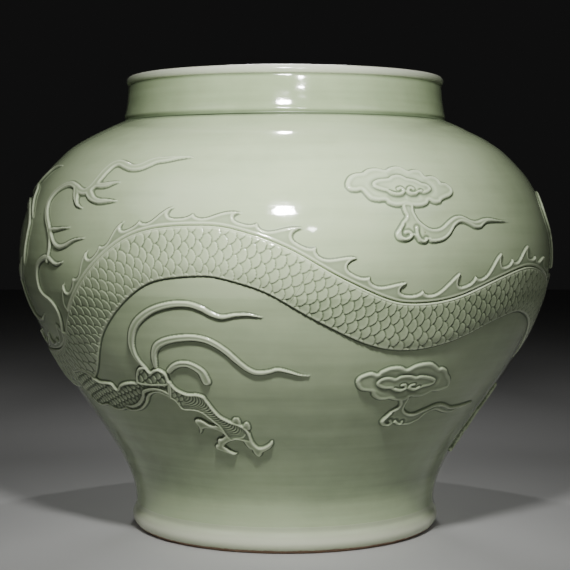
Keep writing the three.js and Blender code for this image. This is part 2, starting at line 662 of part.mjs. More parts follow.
// Flames that rise from the shoulder and, alike, from the haunch
const FLAME_CURL = [
  [-54.8, -52, 2.2], [-54.9, -46.8, 2.6], [-56.7, -39.6, 2.8], [-59.5, -34.5, 2.8],
  [-60.8, -27.5, 2.8], [-60.6, -18.6, 2.8], [-59.7, -9.6, 2.8], [-58.2, -3, 2.8],
  [-56.1, 0.6, 2.7], [-54.1, 1.2, 2.5], [-52.9, -1, 2.2], [-51.7, -3.4, 1.9], [-50.3, -4.1, 1.5],
  [-48.5, -2, 0.5],
];
const FLAME_STEM = [
  [-53.3, 7, 1.8], [-53.5, 15.2, 2.6], [-53.8, 21.5, 3], [-54.9, 28.7, 3.2], [-56.5, 36, 3.3],
  [-57.8, 44, 3.3], [-58.2, 51.7, 3.3], [-57.5, 58.9, 3.3], [-55.9, 64.9, 3.3], [-53.7, 68.9, 3.3],
  [-51.3, 69.9, 3.3], [-48.8, 66.7, 3.2], [-46.8, 63, 3.4], [-45.1, 61.8, 3.8],
  [-43.4, 66, 4.2], [-42.2, 75, 4.6], [-41.4, 83, 4.8], [-40.2, 90, 4.5], [-38.4, 92, 3.8],
  [-36.2, 88.8, 4], [-34.2, 86.2, 3.8], [-32, 87, 4.2], [-30.2, 91, 4.8], [-28.5, 94.3, 4],
  [-26, 95.5, 3.5], [-23.5, 97, 2.2], [-20.2, 98.1, 0.5],
];
const FLAME_PRONGS = [
  [[-53.3, 17.5, 2.2], [-51.3, 12.9, 2.2], [-49.7, 11.1, 2.2], [-47.9, 12.6, 2], [-46.3, 15.5, 1.7],
    [-44.6, 18, 1.2], [-42, 19.7, 0.5]],
  [[-54.4, 25.4, 2.4], [-52.8, 26.6, 2], [-51.3, 26.8, 1.8], [-49.5, 27.8, 1.3], [-47, 28.6, 0.5]],
  [[-48.2, 64.5, 3], [-47.6, 58, 3.4], [-46.9, 53, 2.6], [-46, 49, 1.7], [-44.3, 46.3, 0.5]],
  [[-44, 62.5, 3.4], [-43, 58.5, 3.9], [-41.6, 54.6, 3], [-39.8, 52.7, 2.6], [-37.8, 52.8, 2.1],
    [-35.1, 53, 0.5]],
  [[-42.6, 68.3, 2.5], [-40.5, 67.9, 2.7], [-38.8, 68.8, 2.6], [-37.4, 70.3, 1.5],
    [-36, 71.3, 0.5]],
];
const AT_SHOULDER = { from: [-57, 0], to: [-57, 0] };
const TO_HAUNCH = { from: [-57, 0], to: [76.5, -9] };

function plume(move) {
  return joined(
    roll(carried(FLAME_STEM, move), FLAME),
    ...FLAME_PRONGS.map((prong, i) => roll(carried(prong, move), FLAME - SLIP, {
      bed: SLIP * (1.3 + 0.25 * i),
    })),
  );
}

place('shoulder_curl', roll(FLAME_CURL, FLAME), CREST_GLAZE);
place('shoulder_flame', plume(AT_SHOULDER), CREST_GLAZE);
place('haunch_flame', plume(TO_HAUNCH), CREST_GLAZE);

// Streamers that sweep up and back from the elbows
const STREAMERS = [
  [[-32.2, -93.5, 2.5], [-33.3, -85, 3.4], [-33.2, -72, 4], [-31.8, -60, 4], [-29.5, -50, 3.6],
    [-26, -41, 3.2], [-22, -36, 3], [-18.5, -35.5, 3], [-16, -39, 2.8], [-14, -44, 2.5],
    [-12, -46.5, 2.2], [-9.5, -44.5, 1.8], [-7, -44, 1.4], [-4.3, -46.5, 0.5]],
  [[-28.8, -95, 2.8], [-28.3, -83, 3.2], [-26.8, -75, 3.6], [-24, -69.5, 3.6], [-20, -66.5, 3.5],
    [-17, -67, 3.3], [-14.5, -71, 3.2], [-12, -79, 3], [-10, -88, 2.8], [-8, -96, 2.7],
    [-6, -100, 2.6], [-3.5, -99, 2.3], [-1.5, -96.5, 2], [1, -99, 1.6], [3, -102, 1],
    [5.2, -103.5, 0.5]],
  [[-25, -100, 2.2], [-24, -94, 2.6], [-21.5, -91.5, 3], [-19, -93, 3.4], [-17.3, -98, 3.8],
    [-17, -104, 3.2], [-17.6, -110, 2]],
];
place('streamer_long', roll(STREAMERS[0], FLAME), CREST_GLAZE);
place('streamer_waved', roll(STREAMERS[1], FLAME), CREST_GLAZE);
place('streamer_short', roll(STREAMERS[2], FLAME), CREST_GLAZE);
place('far_streamer_long', roll(carried(STREAMERS[0], LEGS.far_foreleg), FLAME), CREST_GLAZE);
place('far_streamer_short', roll(carried(STREAMERS[2], LEGS.far_foreleg), FLAME), CREST_GLAZE);
place('hind_streamer', roll(carried(STREAMERS[2], LEGS.near_hindleg), FLAME), CREST_GLAZE);

const TAIL_LOCKS = [
  [[152, 17, 4.5], [153, 30, 5.2], [157, 44, 5], [163, 52, 4], [171, 52, 2.6], [178, 46, 0.5]],
  [[151.6, 19, 3], [148.5, 34, 4], [147, 50, 3.6], [150, 64, 2.8], [156, 72, 0.5]],
  [[153.5, 22, 3], [159, 25, 4], [166, 29, 3], [173, 24, 0.5]],
];
place('tail_flame', joined(...TAIL_LOCKS.map((lock, i) => (
  roll(lock, FLAME, { bed: SLIP * (1 + 0.3 * i) })
))), CREST_GLAZE);

// Flaming pearl that the dragon follows
const PEARL = [-154, 40];
const PEARL_FLAMES = [
  [[-151.2, 53, 2.2], [-148.6, 60, 2.8], [-148.4, 68, 2.4], [-151, 75, 0.5]],
  [[-150.8, 27, 2], [-146.6, 22, 2.6], [-141.4, 24, 2], [-137.6, 30, 0.5]],
  [[-157.4, 28, 2], [-161, 22, 2.6], [-166, 22, 2], [-170.4, 28, 0.5]],
];
place('pearl', dome(...PEARL, PEARL_RADIUS, SLIP, CLOUD + 1.4), CLOUD_GLAZE);
PEARL_FLAMES.forEach((flame, i) => place(`pearl_flame_${i + 1}`, roll(flame, FLAME), CREST_GLAZE));

// Clouds: a lobed cap with a raised heart, over a stem that curls and trails away
const HIGH_CLOUD = {
  upper: [
    [12, 71], [12.8, 76.5], [15, 79], [17.4, 84.3], [20.3, 82.6], [22.7, 87], [25.6, 82.4],
    [27.9, 82.4], [29.4, 77.6], [31.6, 76.4], [33, 70.5], [34.3, 66],
  ],
  lower: [
    [12.1, 66], [13, 62.2], [15, 62], [16.4, 54.6], [19, 52.7], [21.4, 48.3], [24, 50.2],
    [26.6, 48], [28.6, 52], [31.2, 51.5], [33, 55.5], [34.2, 61],
  ],
  stem: [
    [24, 53, 3.4], [23.9, 41, 4], [24.3, 33, 5], [26.3, 25, 7], [29, 22, 6.5],
    [31.5, 24.5, 5.5], [33.3, 31, 4.5], [35.3, 35, 3.6], [37.3, 35, 3.2], [39, 32, 3.4],
    [41, 33.2, 3], [43.5, 36.3, 2], [46.5, 36, 1.3], [50, 35, 0.5],
  ],
  curl: [
    [23.9, 39, 2.6], [22.6, 33, 3.2], [21, 27, 3], [21.2, 22.5, 2.6], [22.5, 20, 2.2],
    [23.4, 20.6, 1.2],
  ],
};
const LOW_CLOUD = {
  upper: [
    [15.3, -109], [15.9, -104], [18.6, -101], [21.5, -98.5], [24, -95.5], [27, -98.5],
    [31.5, -93], [34, -96], [36, -100], [38.3, -103], [39.5, -109], [40.3, -114],
  ],
  lower: [
    [15.3, -113], [16.2, -118], [19.3, -121.5], [20, -126], [22, -130], [25, -130.5],
    [28.5, -132], [31, -129], [34.5, -127.5], [38, -126], [39.6, -123.5], [40.3, -119],
  ],
  stem: [
    [28.9, -129, 3], [29, -137, 3], [29.3, -145, 4.5], [30.3, -152, 6], [32.5, -156, 6],
    [35, -155, 5], [37.5, -150, 4], [40, -146.4, 3.2], [42, -147, 3], [44.5, -150, 2.8],
    [47, -151.5, 2.4], [50, -150, 1.8], [54, -148.5, 1], [57.5, -148.5, 0.5],
  ],
  curl: [
    [28.7, -138, 2.6], [26.5, -146, 2.8], [25, -153, 2.8], [25.2, -160, 2.4], [27, -162.5, 1.6],
  ],
};
const CAP_SHARES = [[0, CLOUD * 0.9], [0.33, CLOUD * 0.8], [0.67, CLOUD], [1, CLOUD * 0.9]];

function cloud(motif, move) {
  return joined(
    sheet(carried(motif.upper, move), carried(motif.lower, move), CAP_SHARES),
    roll(carried(motif.stem, move), CLOUD - 0.4, { bed: SLIP * 1.3, step: 12 }),
    roll(carried(motif.curl, move), CLOUD - 0.6, { bed: SLIP * 1.7, step: 9 }),
  );
}

const HIGH = [23.3, 67];
const LOW = [28, -113];
place('cloud_high', cloud(HIGH_CLOUD, { from: HIGH, to: HIGH }), CLOUD_GLAZE);
place('cloud_low', cloud(LOW_CLOUD, { from: LOW, to: LOW }), CLOUD_GLAZE);
place('cloud_haunch', cloud(HIGH_CLOUD, { from: HIGH, to: [112, 2], flip: true }), CLOUD_GLAZE);
place('cloud_tail', cloud(LOW_CLOUD, { from: LOW, to: [172, -70] }), CLOUD_GLAZE);
place('cloud_pearl', cloud(HIGH_CLOUD, { from: HIGH, to: [-163, 104], flip: true }), CLOUD_GLAZE);
place('cloud_beard', cloud(LOW_CLOUD, { from: LOW, to: [-158, -40] }), CLOUD_GLAZE);

export default group;
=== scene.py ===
"""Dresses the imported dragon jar: thrown walls, a scaled dragon, flames and clouds under celadon.

A place on the wall is (azimuth, rise): degrees from the front, positive towards +X, and millimetres
up the wall from its widest line. A third number is a half width. Meshes are written in metres.
"""

import logging
import math
from dataclasses import dataclass, field
from enum import Enum
from typing import Dict, Iterator, List, NamedTuple, Optional, Sequence, Tuple

import bpy
import numpy as np
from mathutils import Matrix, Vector


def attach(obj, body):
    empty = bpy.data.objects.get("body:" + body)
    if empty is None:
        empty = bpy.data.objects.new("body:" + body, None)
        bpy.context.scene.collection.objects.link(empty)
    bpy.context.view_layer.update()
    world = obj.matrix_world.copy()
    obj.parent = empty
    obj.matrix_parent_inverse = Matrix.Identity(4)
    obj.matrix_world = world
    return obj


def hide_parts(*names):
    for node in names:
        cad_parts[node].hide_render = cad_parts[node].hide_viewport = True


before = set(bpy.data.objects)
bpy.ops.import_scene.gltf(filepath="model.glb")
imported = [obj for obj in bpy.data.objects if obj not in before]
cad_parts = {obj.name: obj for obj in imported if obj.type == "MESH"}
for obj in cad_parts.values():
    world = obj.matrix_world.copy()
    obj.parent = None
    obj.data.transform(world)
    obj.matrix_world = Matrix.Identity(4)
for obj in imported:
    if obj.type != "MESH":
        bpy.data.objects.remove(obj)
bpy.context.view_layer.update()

LOG = logging.getLogger("dragon_jar")
METRES = 0.001
BODY = "root"
LEVEL = 0.5  # glaze depth on an even surface
OUT = -9.0  # inside distance of a place far outside every shape
UNDER = -1.0  # how deep in the wall the underside of a relief lies
CORNER_FILL = 0.16  # how high the glaze stands in the corner at a relief's foot
DIVE = 0.3  # how deep the relief's rim is sunk in the wall
RIM = -2.0  # inside distance of the rim
AROUND = 3.0  # how far a relief's grid reaches beyond its clay
DISC_LINE = 0.01  # length of the line that a disc is rolled along
# parts of the usual step, from small relief to plain
FINEST, FINE, MEDIUM, COARSE = 0.6, 0.75, 0.8, 0.9
SCALE_SEED, SCALE_CHANCES = 7, 997

Array = np.ndarray
Points = Sequence[Tuple[float, ...]]
Place = Tuple[float, float]
Spot = Tuple[float, float, float]
Colour = Tuple[float, float, float]
Piece = bpy.types.Object
Socket = bpy.types.NodeSocket
Node = bpy.types.Node
Move = Dict[str, object]


class Slot(Enum):
    """Material slots of the record that the finishes belong to."""

    WALL = "wall_glaze"
    NECK = "neck_glaze"
    LIP = "lip_glaze"
    FOOT = "foot_glaze"
    DRAGON = "dragon_glaze"
    CREST = "crest_glaze"
    CLOUD = "cloud_glaze"


# ---- small mathematics of lines and shapes


def smooth(low: float, high: float, value: Array) -> Array:
    """Soft step from 0 at low to 1 at high."""
    share = np.clip((value - low) / (high - low), 0.0, 1.0)
    return share * share * (3.0 - 2.0 * share)


def spline(points: Points, per_span: int, closed: bool = False) -> Array:
    """Smooth line through every point.

    Args:
        points: places the line passes, with any number of measures each.
        per_span: steps from one place to the next.
        closed: whether the line returns to its start.

    Returns:
        The line's places, one row each.
    """
    given = np.asarray(points, float)
    if closed:
        held = np.vstack([given[-1:], given, given[:2]])
    else:
        held = np.vstack([given[:1], given, given[-1:]])
    spans = len(held) - 3
    t = np.linspace(0.0, 1.0, per_span, endpoint=False)[None, :, None]
    p0, p1, p2, p3 = (held[k : spans + k][:, None] for k in range(4))
    v0, v1 = (p2 - p0) / 2, (p3 - p1) / 2
    run = (2 * p1 - 2 * p2 + v0 + v1) * t**3 + (-3 * p1 + 3 * p2 - 2 * v0 - v1) * t**2 + v0 * t + p1
    return np.vstack([run.reshape(-1, given.shape[1]), held[spans + 1 : spans + 2]])


def bell(reach: int, width: float) -> Array:
    """Weights of a bell curve of a given width, out to a reach on both sides."""
    return np.exp(-0.5 * (np.arange(-reach, reach + 1) / width) ** 2)


def softened(grid: Array, cells: float) -> Array:
    """Grid blurred by a bell curve.

    Args:
        grid: values, one for each place.
        cells: how many cells wide the curve is.

    Returns:
        The blurred values.
    """
    reach = max(1, int(math.ceil(2.5 * cells)))
    weights = bell(reach, cells)
    weights /= weights.sum()
    out = grid
    for axis in (0, 1):
        pad = [(reach, reach) if axis == k else (0, 0) for k in (0, 1)]
        wide = np.pad(out, pad, mode="edge")
        length = out.shape[axis]
        out = sum(w * np.take(wide, range(k, k + length), axis) for k, w in enumerate(weights))
    return out


def joined(first: Array, second: Array, melt: float) -> Array:
    """Greater of two inside distances, with a melted crotch where they meet."""
    near = np.clip(melt - np.abs(first - second), 0.0, None) / melt
    return np.maximum(first, second) + near * near * melt / 4


class Grid(NamedTuple):
    """Places, and the millimetres that one unit of x spans at each."""

    x: Array
    y: Array
    scale: Array


@dataclass
class Shape:
    """Clay that is rolled along a fine line of places or cut to it."""

    fine: Array

    @property
    def reach(self) -> float:
        """How far the clay lies to the sides of its line at most."""
        return 0.0

    def spans(self, grid: Grid) -> Iterator[Tuple[Array, ...]]:
        """Goes through the short spans of the line.

        Args:
            grid: the places that are measured.

        Yields:
            The span's start and end, the share of it at which each place is nearest, and how far
            the place lies from there along x and along y.
        """
        for a, b in zip(self.fine[:-1], self.fine[1:]):
            east, north = (b[0] - a[0]) * grid.scale, b[1] - a[1]
            px, py = (grid.x - a[0]) * grid.scale, grid.y - a[1]
            run = np.maximum(east * east + north * north, 1e-9)
            t = np.clip((px * east + py * north) / run, 0.0, 1.0)
            yield a, b, t, px - t * east, py - t * north


class Roll(Shape):
    """Roll of clay along a line of places with half widths."""

    @property
    def reach(self) -> float:
        """The greatest half width."""
        return float(self.fine[:, 2].max())

    def inside(self, grid: Grid) -> Array:
        """How far places lie inside the roll, less than 0 outside.

        Args:
            grid: the places.

        Returns:
            Distances in millimetres.
        """
        best = np.full(grid.x.shape, OUT)
        for a, b, t, px, py in self.spans(grid):
            best = np.maximum(best, a[2] + (b[2] - a[2]) * t - np.hypot(px, py))
        return best


class Plate(Shape):
    """Flat sheet of clay cut to a closed outline."""

    def inside(self, grid: Grid) -> Array:
        """How far places lie inside the outline, less than 0 outside.

        Args:
            grid: the places.

        Returns:
            Distances in millimetres.
        """
        nearest = np.full(grid.x.shape, 9e9)
        within = np.zeros(grid.x.shape, bool)
        for a, b, _, px, py in self.spans(grid):
            nearest = np.minimum(nearest, px**2 + py**2)
            if a[1] != b[1]:
                crosses = (a[1] > grid.y) != (b[1] > grid.y)
                crossing = a[0] + (b[0] - a[0]) * (grid.y - a[1]) / (b[1] - a[1])
                within ^= crosses & (grid.x < crossing)
        return np.where(within, 1.0, -1.0) * np.sqrt(nearest)


def roll(points: Points, per_span: int = 6) -> Roll:
    """Roll along a smooth line through some places."""
    return Roll(spline(points, per_span))


def disc(radius: float, place: Place = (0.0, 0.0)) -> Points:
    """Line so short that a roll along it is round."""
    x, y = place
    return (x, y, radius), (x + DISC_LINE, y, radius)


def plate(outline: Points, per_span: int = 4) -> Plate:
    """Plate with a smooth outline through some places."""
    return Plate(spline([place[:2] for place in outline], per_span, closed=True))


def band(upper: Points, lower: Points) -> Plate:
    """Plate between an upper and a lower edge that run the same way."""
    return plate([*upper, *reversed(list(lower))])


def shoulder(edge: Array, height: float, width: float) -> Array:
    """Height of clay at a distance inside its edge, rounded over a width."""
    share = np.clip(edge / width, 0.0, 1.0)
    return height * np.sqrt(np.clip(1.0 - (1.0 - share) ** 2, 0.0, 1.0))


def skirt(edge: Array) -> Array:
    """Glaze that fills the corner at a relief's foot, then dives under the wall's surface."""
    return CORNER_FILL * smooth(-1.5, 0.3, edge) - DIVE * smooth(1.5, 2.3, -edge)


def cord(apart: Array, height: float, half: float) -> Array:
    """Half-round cord at a distance from its middle line."""
    return height * np.sqrt(np.clip(1.0 - (apart / half) ** 2, 0.0, 1.0))


def hump(value: Array, middle: float, width: float) -> Array:
    """Bell-shaped hump, 1 at its middle."""
    return np.exp(-(((value - middle) / width) ** 2))


# ---- the thrown wall


@dataclass(frozen=True)
class WallLine:
    """Sizes of the thrown pieces, in millimetres, the same as the solids have."""

    belly_radius: float = 262.0
    belly_height: float = 268.0
    waist_radius: float = 149.0
    waist_height: float = 24.0
    neck_foot_radius: float = 160.5
    neck_foot_height: float = 398.5
    seam_height: float = 240.0
    thickness: float = 9.0
    neck_wall: float = 8.5
    neck_top_radius: float = 154.6
    neck_rise: float = 35.5
    lip_rise: float = 8.2
    lip_bulge: float = 2.0
    foot_bulge: float = 3.6
    foot_toe_radius: float = 147.2
    foot_width: float = 13.0
    recess: float = 10.0
    floor: float = 13.0
    lower_curve: Points = (
        (0, 0), (0.025, 0.082), (0.132, 0.195), (0.288, 0.314), (0.487, 0.453), (0.668, 0.58),
        (0.832, 0.725), (0.947, 0.869), (1, 1),
    )
    upper_curve: Points = ((0.054, 0.291), (0.217, 0.563), (0.493, 0.789), (0.798, 0.927), (1, 1))

    def stations(self) -> Array:
        """Stations of the outer profile, from the foot to the neck.

        Returns:
            Radius and height of each.
        """
        waist, belly = self.waist_radius, self.belly_radius
        low, middle = self.waist_height, self.belly_height
        out, up = belly - waist, middle - low
        back, over = belly - self.neck_foot_radius, self.neck_foot_height - middle
        toe = [(waist + self.foot_bulge - 0.4, low * 0.46)]
        lower = [(waist + out * s, low + up * r) for s, r in self.lower_curve]
        upper = [(belly - back * s, middle + over * r) for s, r in self.upper_curve]
        return np.array(toe + lower + upper)


class Wall:
    """Outer surface of the two bowls, with the soft rings and dents that throwing left."""

    def __init__(self, line: WallLine) -> None:
        """Walks the profile in short steps.

        Args:
            line: the sizes of the thrown pieces.
        """
        self.line = line
        walk = spline(line.stations(), 40)
        step = np.gradient(walk, axis=0)
        run = np.hypot(step[:, 0], step[:, 1])
        rise = np.concatenate([[0.0], np.cumsum(np.hypot(*np.diff(walk, axis=0).T))])
        self.radius, self.height = walk.T
        self.rise = rise - rise[self.radius.argmax()]
        self.outwards, self.upwards = step[:, 1] / run, -step[:, 0] / run
        self.seam, self.waist, self.top = (
            float(np.interp(height, self.height, self.rise))
            for height in (line.seam_height, line.waist_height, line.neck_foot_height)
        )

    def at(self, rise: Array, measure: Array) -> Array:
        """Value of one measure of the walk at some rises."""
        return np.interp(rise, self.rise, measure)

    def degree(self, rise: Array) -> Array:
        """Millimetres that one degree round the wall spans at a rise."""
        return np.radians(self.at(rise, self.radius))

    def dent(self, azimuth: Array, rise: Array) -> Array:
        """How far the thrown surface lies under its greatest line, never over it.

        Args:
            azimuth: degrees.
            rise: millimetres.

        Returns:
            Depths in millimetres, 0 or less.
        """
        turn = np.radians(azimuth)
        drift = 1.5 * np.sin(turn + 0.6) + 0.9 * np.sin(3 * turn - 1.1)
        high = smooth(70.0, 120.0, rise)
        rings = 0.006 * np.sin(rise / 1.62 + drift * 1.8)
        rings += (0.015 + 0.03 * high) * np.sin(rise / 2.9 - drift)
        rings += (0.05 + 0.05 * high) * np.sin(rise / 4.7 + 0.8 * drift + 2.0)
        lumps = 0.17 * np.sin(2 * turn + rise / 31.0) + 0.1 * np.sin(5 * turn - rise / 23.0 + 1.7)
        lumps += 0.05 * np.sin(11 * turn + rise / 14.0) * np.sin(rise / 19.0 - 2 * turn)
        ends = smooth(-265.0, -240.0, rise) * (1.0 - smooth(185.0, 205.0, rise))
        return (rings + lumps - 0.5) * ends

    def seam_band_and_painted_shade(self, rise: Array) -> Array:
        """How much the glaze depth rises in a band just below the seam, plus painted shade that
        darkens the lower body above the foot.

        Args:
            rise: millimetres.

        Returns:
            What is added to the depth.
        """
        under = self.seam - rise
        step = 0.12 * smooth(-0.6, 0.6, under) * (1.0 - smooth(2.0, 55.0, under))
        # the second term is painted shade: it ramps in from 60 to 150 mm below the seam and darkens
        # the lower body down to the foot
        return step + 0.2 * smooth(60.0, 150.0, under) * (1.0 - smooth(-232.0, -262.0, rise))

    def points(self, azimuth: Array, rise: Array, proud: Array) -> Array:
        """Places that stand proud of the wall, in metres.

        Args:
            azimuth: degrees.
            rise: millimetres.
            proud: millimetres along the wall's normal.

        Returns:
            Coordinates, with x, y and z last.
        """
        out = proud + self.dent(azimuth, rise)
        radius = self.at(rise, self.radius) + out * self.at(rise, self.outwards)
        height = self.at(rise, self.height) + out * self.at(rise, self.upwards)
        angle = np.radians(azimuth)
        return np.stack([radius * np.sin(angle), -radius * np.cos(angle), height], -1) * METRES

    def carried(
        self, points: Points, start: Place, goal: Place, flip: bool = False, turn: float = 0.0,
        size: float = 1.0,
    ) -> List[Spot]:
        """Motif taken to another place on the wall.

        Args:
            points: the motif's places, with half widths if it has them.
            start: place that the motif is lifted from.
            goal: place that it is laid on.
            flip: whether it is mirrored.
            turn: degrees that it is turned by.
            size: how many times larger it becomes.

        Returns:
            The motif's new places.
        """
        cos, sin = math.cos(math.radians(turn)), math.sin(math.radians(turn))
        from_degree, to_degree = float(self.degree(start[1])), float(self.degree(goal[1]))
        moved = []
        for point in points:
            x = (point[0] - start[0]) * from_degree * size * (-1 if flip else 1)
            y = (point[1] - start[1]) * size
            half = point[2] * size if len(point) > 2 else 0.0
            along, up = x * cos - y * sin, x * sin + y * cos
            moved.append((goal[0] + along / to_degree, goal[1] + up, half))
        return moved


# ---- meshes


def piece_from(name: str, corners: Array, faces: Array, pool: Array, rounded: int) -> Piece:
    """Object with a mesh of four-sided faces.

    Args:
        name: the piece's name.
        corners: coordinates in metres, one row each.
        faces: four corner numbers for each face.
        pool: how deep the glaze lies at each corner, from 0 to 1, with painted shade added on some
            pieces.
        rounded: how many of the first faces are shaded smooth.

    Returns:
        The object, linked to the scene.
    """
    mesh = bpy.data.meshes.new(name)
    mesh.vertices.add(len(corners))
    mesh.vertices.foreach_set("co", np.ascontiguousarray(corners, np.float32).ravel())
    mesh.loops.add(faces.size)
    mesh.loops.foreach_set("vertex_index", faces.astype(np.int32).ravel())
    mesh.polygons.add(len(faces))
    mesh.polygons.foreach_set("loop_start", np.arange(0, faces.size, 4, dtype=np.int32))
    mesh.polygons.foreach_set("use_smooth", np.arange(len(faces)) < rounded)
    held = mesh.attributes.new("pool", "FLOAT", "POINT")
    held.data.foreach_set("value", pool.astype(np.float32))
    mesh.update(calc_edges=True)
    mesh.validate()
    piece = bpy.data.objects.new(name, mesh)
    bpy.context.scene.collection.objects.link(piece)
    return piece


class Patch:
    """Grid of places on the wall, with how proud the clay stands on each."""

    def __init__(self, wall: Wall, azimuth: Array, rise: Array) -> None:
        """Keeps the grid, still without clay.

        Args:
            wall: the wall it lies on.
            azimuth: the grid's azimuths.
            rise: the grid's rises.
        """
        self.wall, self.azimuth, self.rise = wall, azimuth, rise
        self.scale = wall.degree(rise)
        self.edge = np.full(azimuth.shape, OUT)
        self.proud = np.zeros(azimuth.shape)

    @classmethod
    def round(cls, wall: Wall, shapes: Sequence[Shape], step: float, melt: float = 1.6) -> "Patch":
        """Patch that holds some shapes, with the distance inside them worked out.

        Args:
            wall: the wall it lies on.
            shapes: rolls and plates that run into each other.
            step: millimetres from one place of the grid to the next.
            melt: millimetres over which crotches are filled.

        Returns:
            The patch.
        """
        fine = np.vstack([shape.fine[:, :2] for shape in shapes])
        reach = max(shape.reach for shape in shapes) + AROUND
        degree = float(wall.degree(fine[:, 1].mean()))
        low, high = fine.min(0), fine.max(0)
        azimuth = np.arange(low[0] - reach / degree, high[0] + reach / degree, step / degree)
        rise = np.arange(low[1] - reach, high[1] + reach, step)
        patch = cls(wall, *np.meshgrid(azimuth, rise))
        for shape in shapes:
            patch.edge = joined(patch.edge, patch.inside(shape), melt)
        return patch

    def inside(self, *shapes: Shape) -> Array:
        """How far the patch's places lie inside the nearest of some shapes."""
        grid = Grid(self.azimuth, self.rise, self.scale)
        return np.maximum.reduce([shape.inside(grid) for shape in shapes])

    def pooled(
        self, cells: float = 2.2, strength: float = 1.2, more: Optional[Array] = None
    ) -> Array:
        """Depth of the glaze: over the level in hollows and corners, under it on ridges, with the
        wall's seam band and its painted shade on the lower body added.

        Args:
            cells: how many cells round a place count.
            strength: how much a millimetre of height changes the depth.
            more: depth that is added.

        Returns:
            Depths from 0 to 1.
        """
        clay = np.maximum(self.proud, 0.0)
        # the wall's term adds a darker band below the seam and painted shade that darkens the lower
        # body
        depth = LEVEL + self.wall.seam_band_and_painted_shade(self.rise) + strength * (softened(clay, cells) - clay)
        depth = np.clip(depth, 0.0, 1.0)
        return depth if more is None else np.clip(depth + more, 0.0, 1.0)

    def piece(self, name: str, pool: Optional[Array] = None) -> Piece:
        """Closed mesh of the clay, with its underside sunk in the wall.

        Args:
            name: the piece's name.
            pool: depth of the glaze; by default from the clay's shape.

        Returns:
            The object.
        """
        near = np.maximum(self.edge[:-1], self.edge[1:])
        kept = np.maximum(near[:, :-1], near[:, 1:]) > RIM
        pool = self.pooled(strength=1.0) if pool is None else pool
        number = np.arange(self.azimuth.size).reshape(self.azimuth.shape)
        corners = [number[:-1, :-1], number[:-1, 1:], number[1:, 1:], number[1:, :-1]]
        faces = np.stack(corners, -1)[kept]
        top = self.wall.points(self.azimuth, self.rise, self.proud).reshape(-1, 3)
        sunk = np.full(self.rise.shape, UNDER)
        low = self.wall.points(self.azimuth, self.rise, sunk).reshape(-1, 3)
        a, b, c = (top[faces[:, k]] for k in (0, 1, 3))
        outward = (np.cross(b - a, c - a) * (top - low)[faces[:, 0]]).sum()
        if outward < 0:
            faces = faces[:, ::-1]
        start, end = faces.ravel(), np.roll(faces, -1, axis=1).ravel()
        total = self.azimuth.size
        rim = ~np.isin(start.astype(np.int64) * total + end, end.astype(np.int64) * total + start)
        start, end = start[rim], end[rim]
        side = np.stack([end, start, start + total, end + total], -1)
        whole = np.vstack([faces, faces[:, ::-1] + total, side])
        used, whole = np.unique(whole, return_inverse=True)
        places = np.vstack([top, low])[used]
        depth = np.concatenate([pool.ravel(), pool.ravel()])[used]
        return piece_from(name, places, whole.reshape(-1, 4), depth, len(faces))


def turned(name: str, rings: Array, pool: Array, outer: int) -> Piece:
    """Body of revolution from a grid of places.

    Args:
        name: the piece's name.
        rings: coordinates in metres, [station, place round the axis, xyz].
        pool: glaze depth at each station.
        outer: how many stations the outer side has; the joint faces at its two ends are flat.

    Returns:
        The object.
    """
    stations, around = rings.shape[:2]
    number = np.arange(stations * around).reshape(stations, around)
    right = np.roll(number, -1, axis=1)
    above, above_right = (np.roll(grid, -1, axis=0) for grid in (number, right))
    faces = np.stack([number, right, above_right, above], -1)
    joints = sorted({outer - 1, stations - 1})
    order = [station for station in range(stations) if station not in joints] + joints
    depth = np.broadcast_to(pool.reshape(stations, 1), (stations, around)).ravel()
    rounded = (stations - len(joints)) * around
    return piece_from(name, rings.reshape(-1, 3), faces[order].reshape(-1, 4), depth, rounded)


# ---- finishes


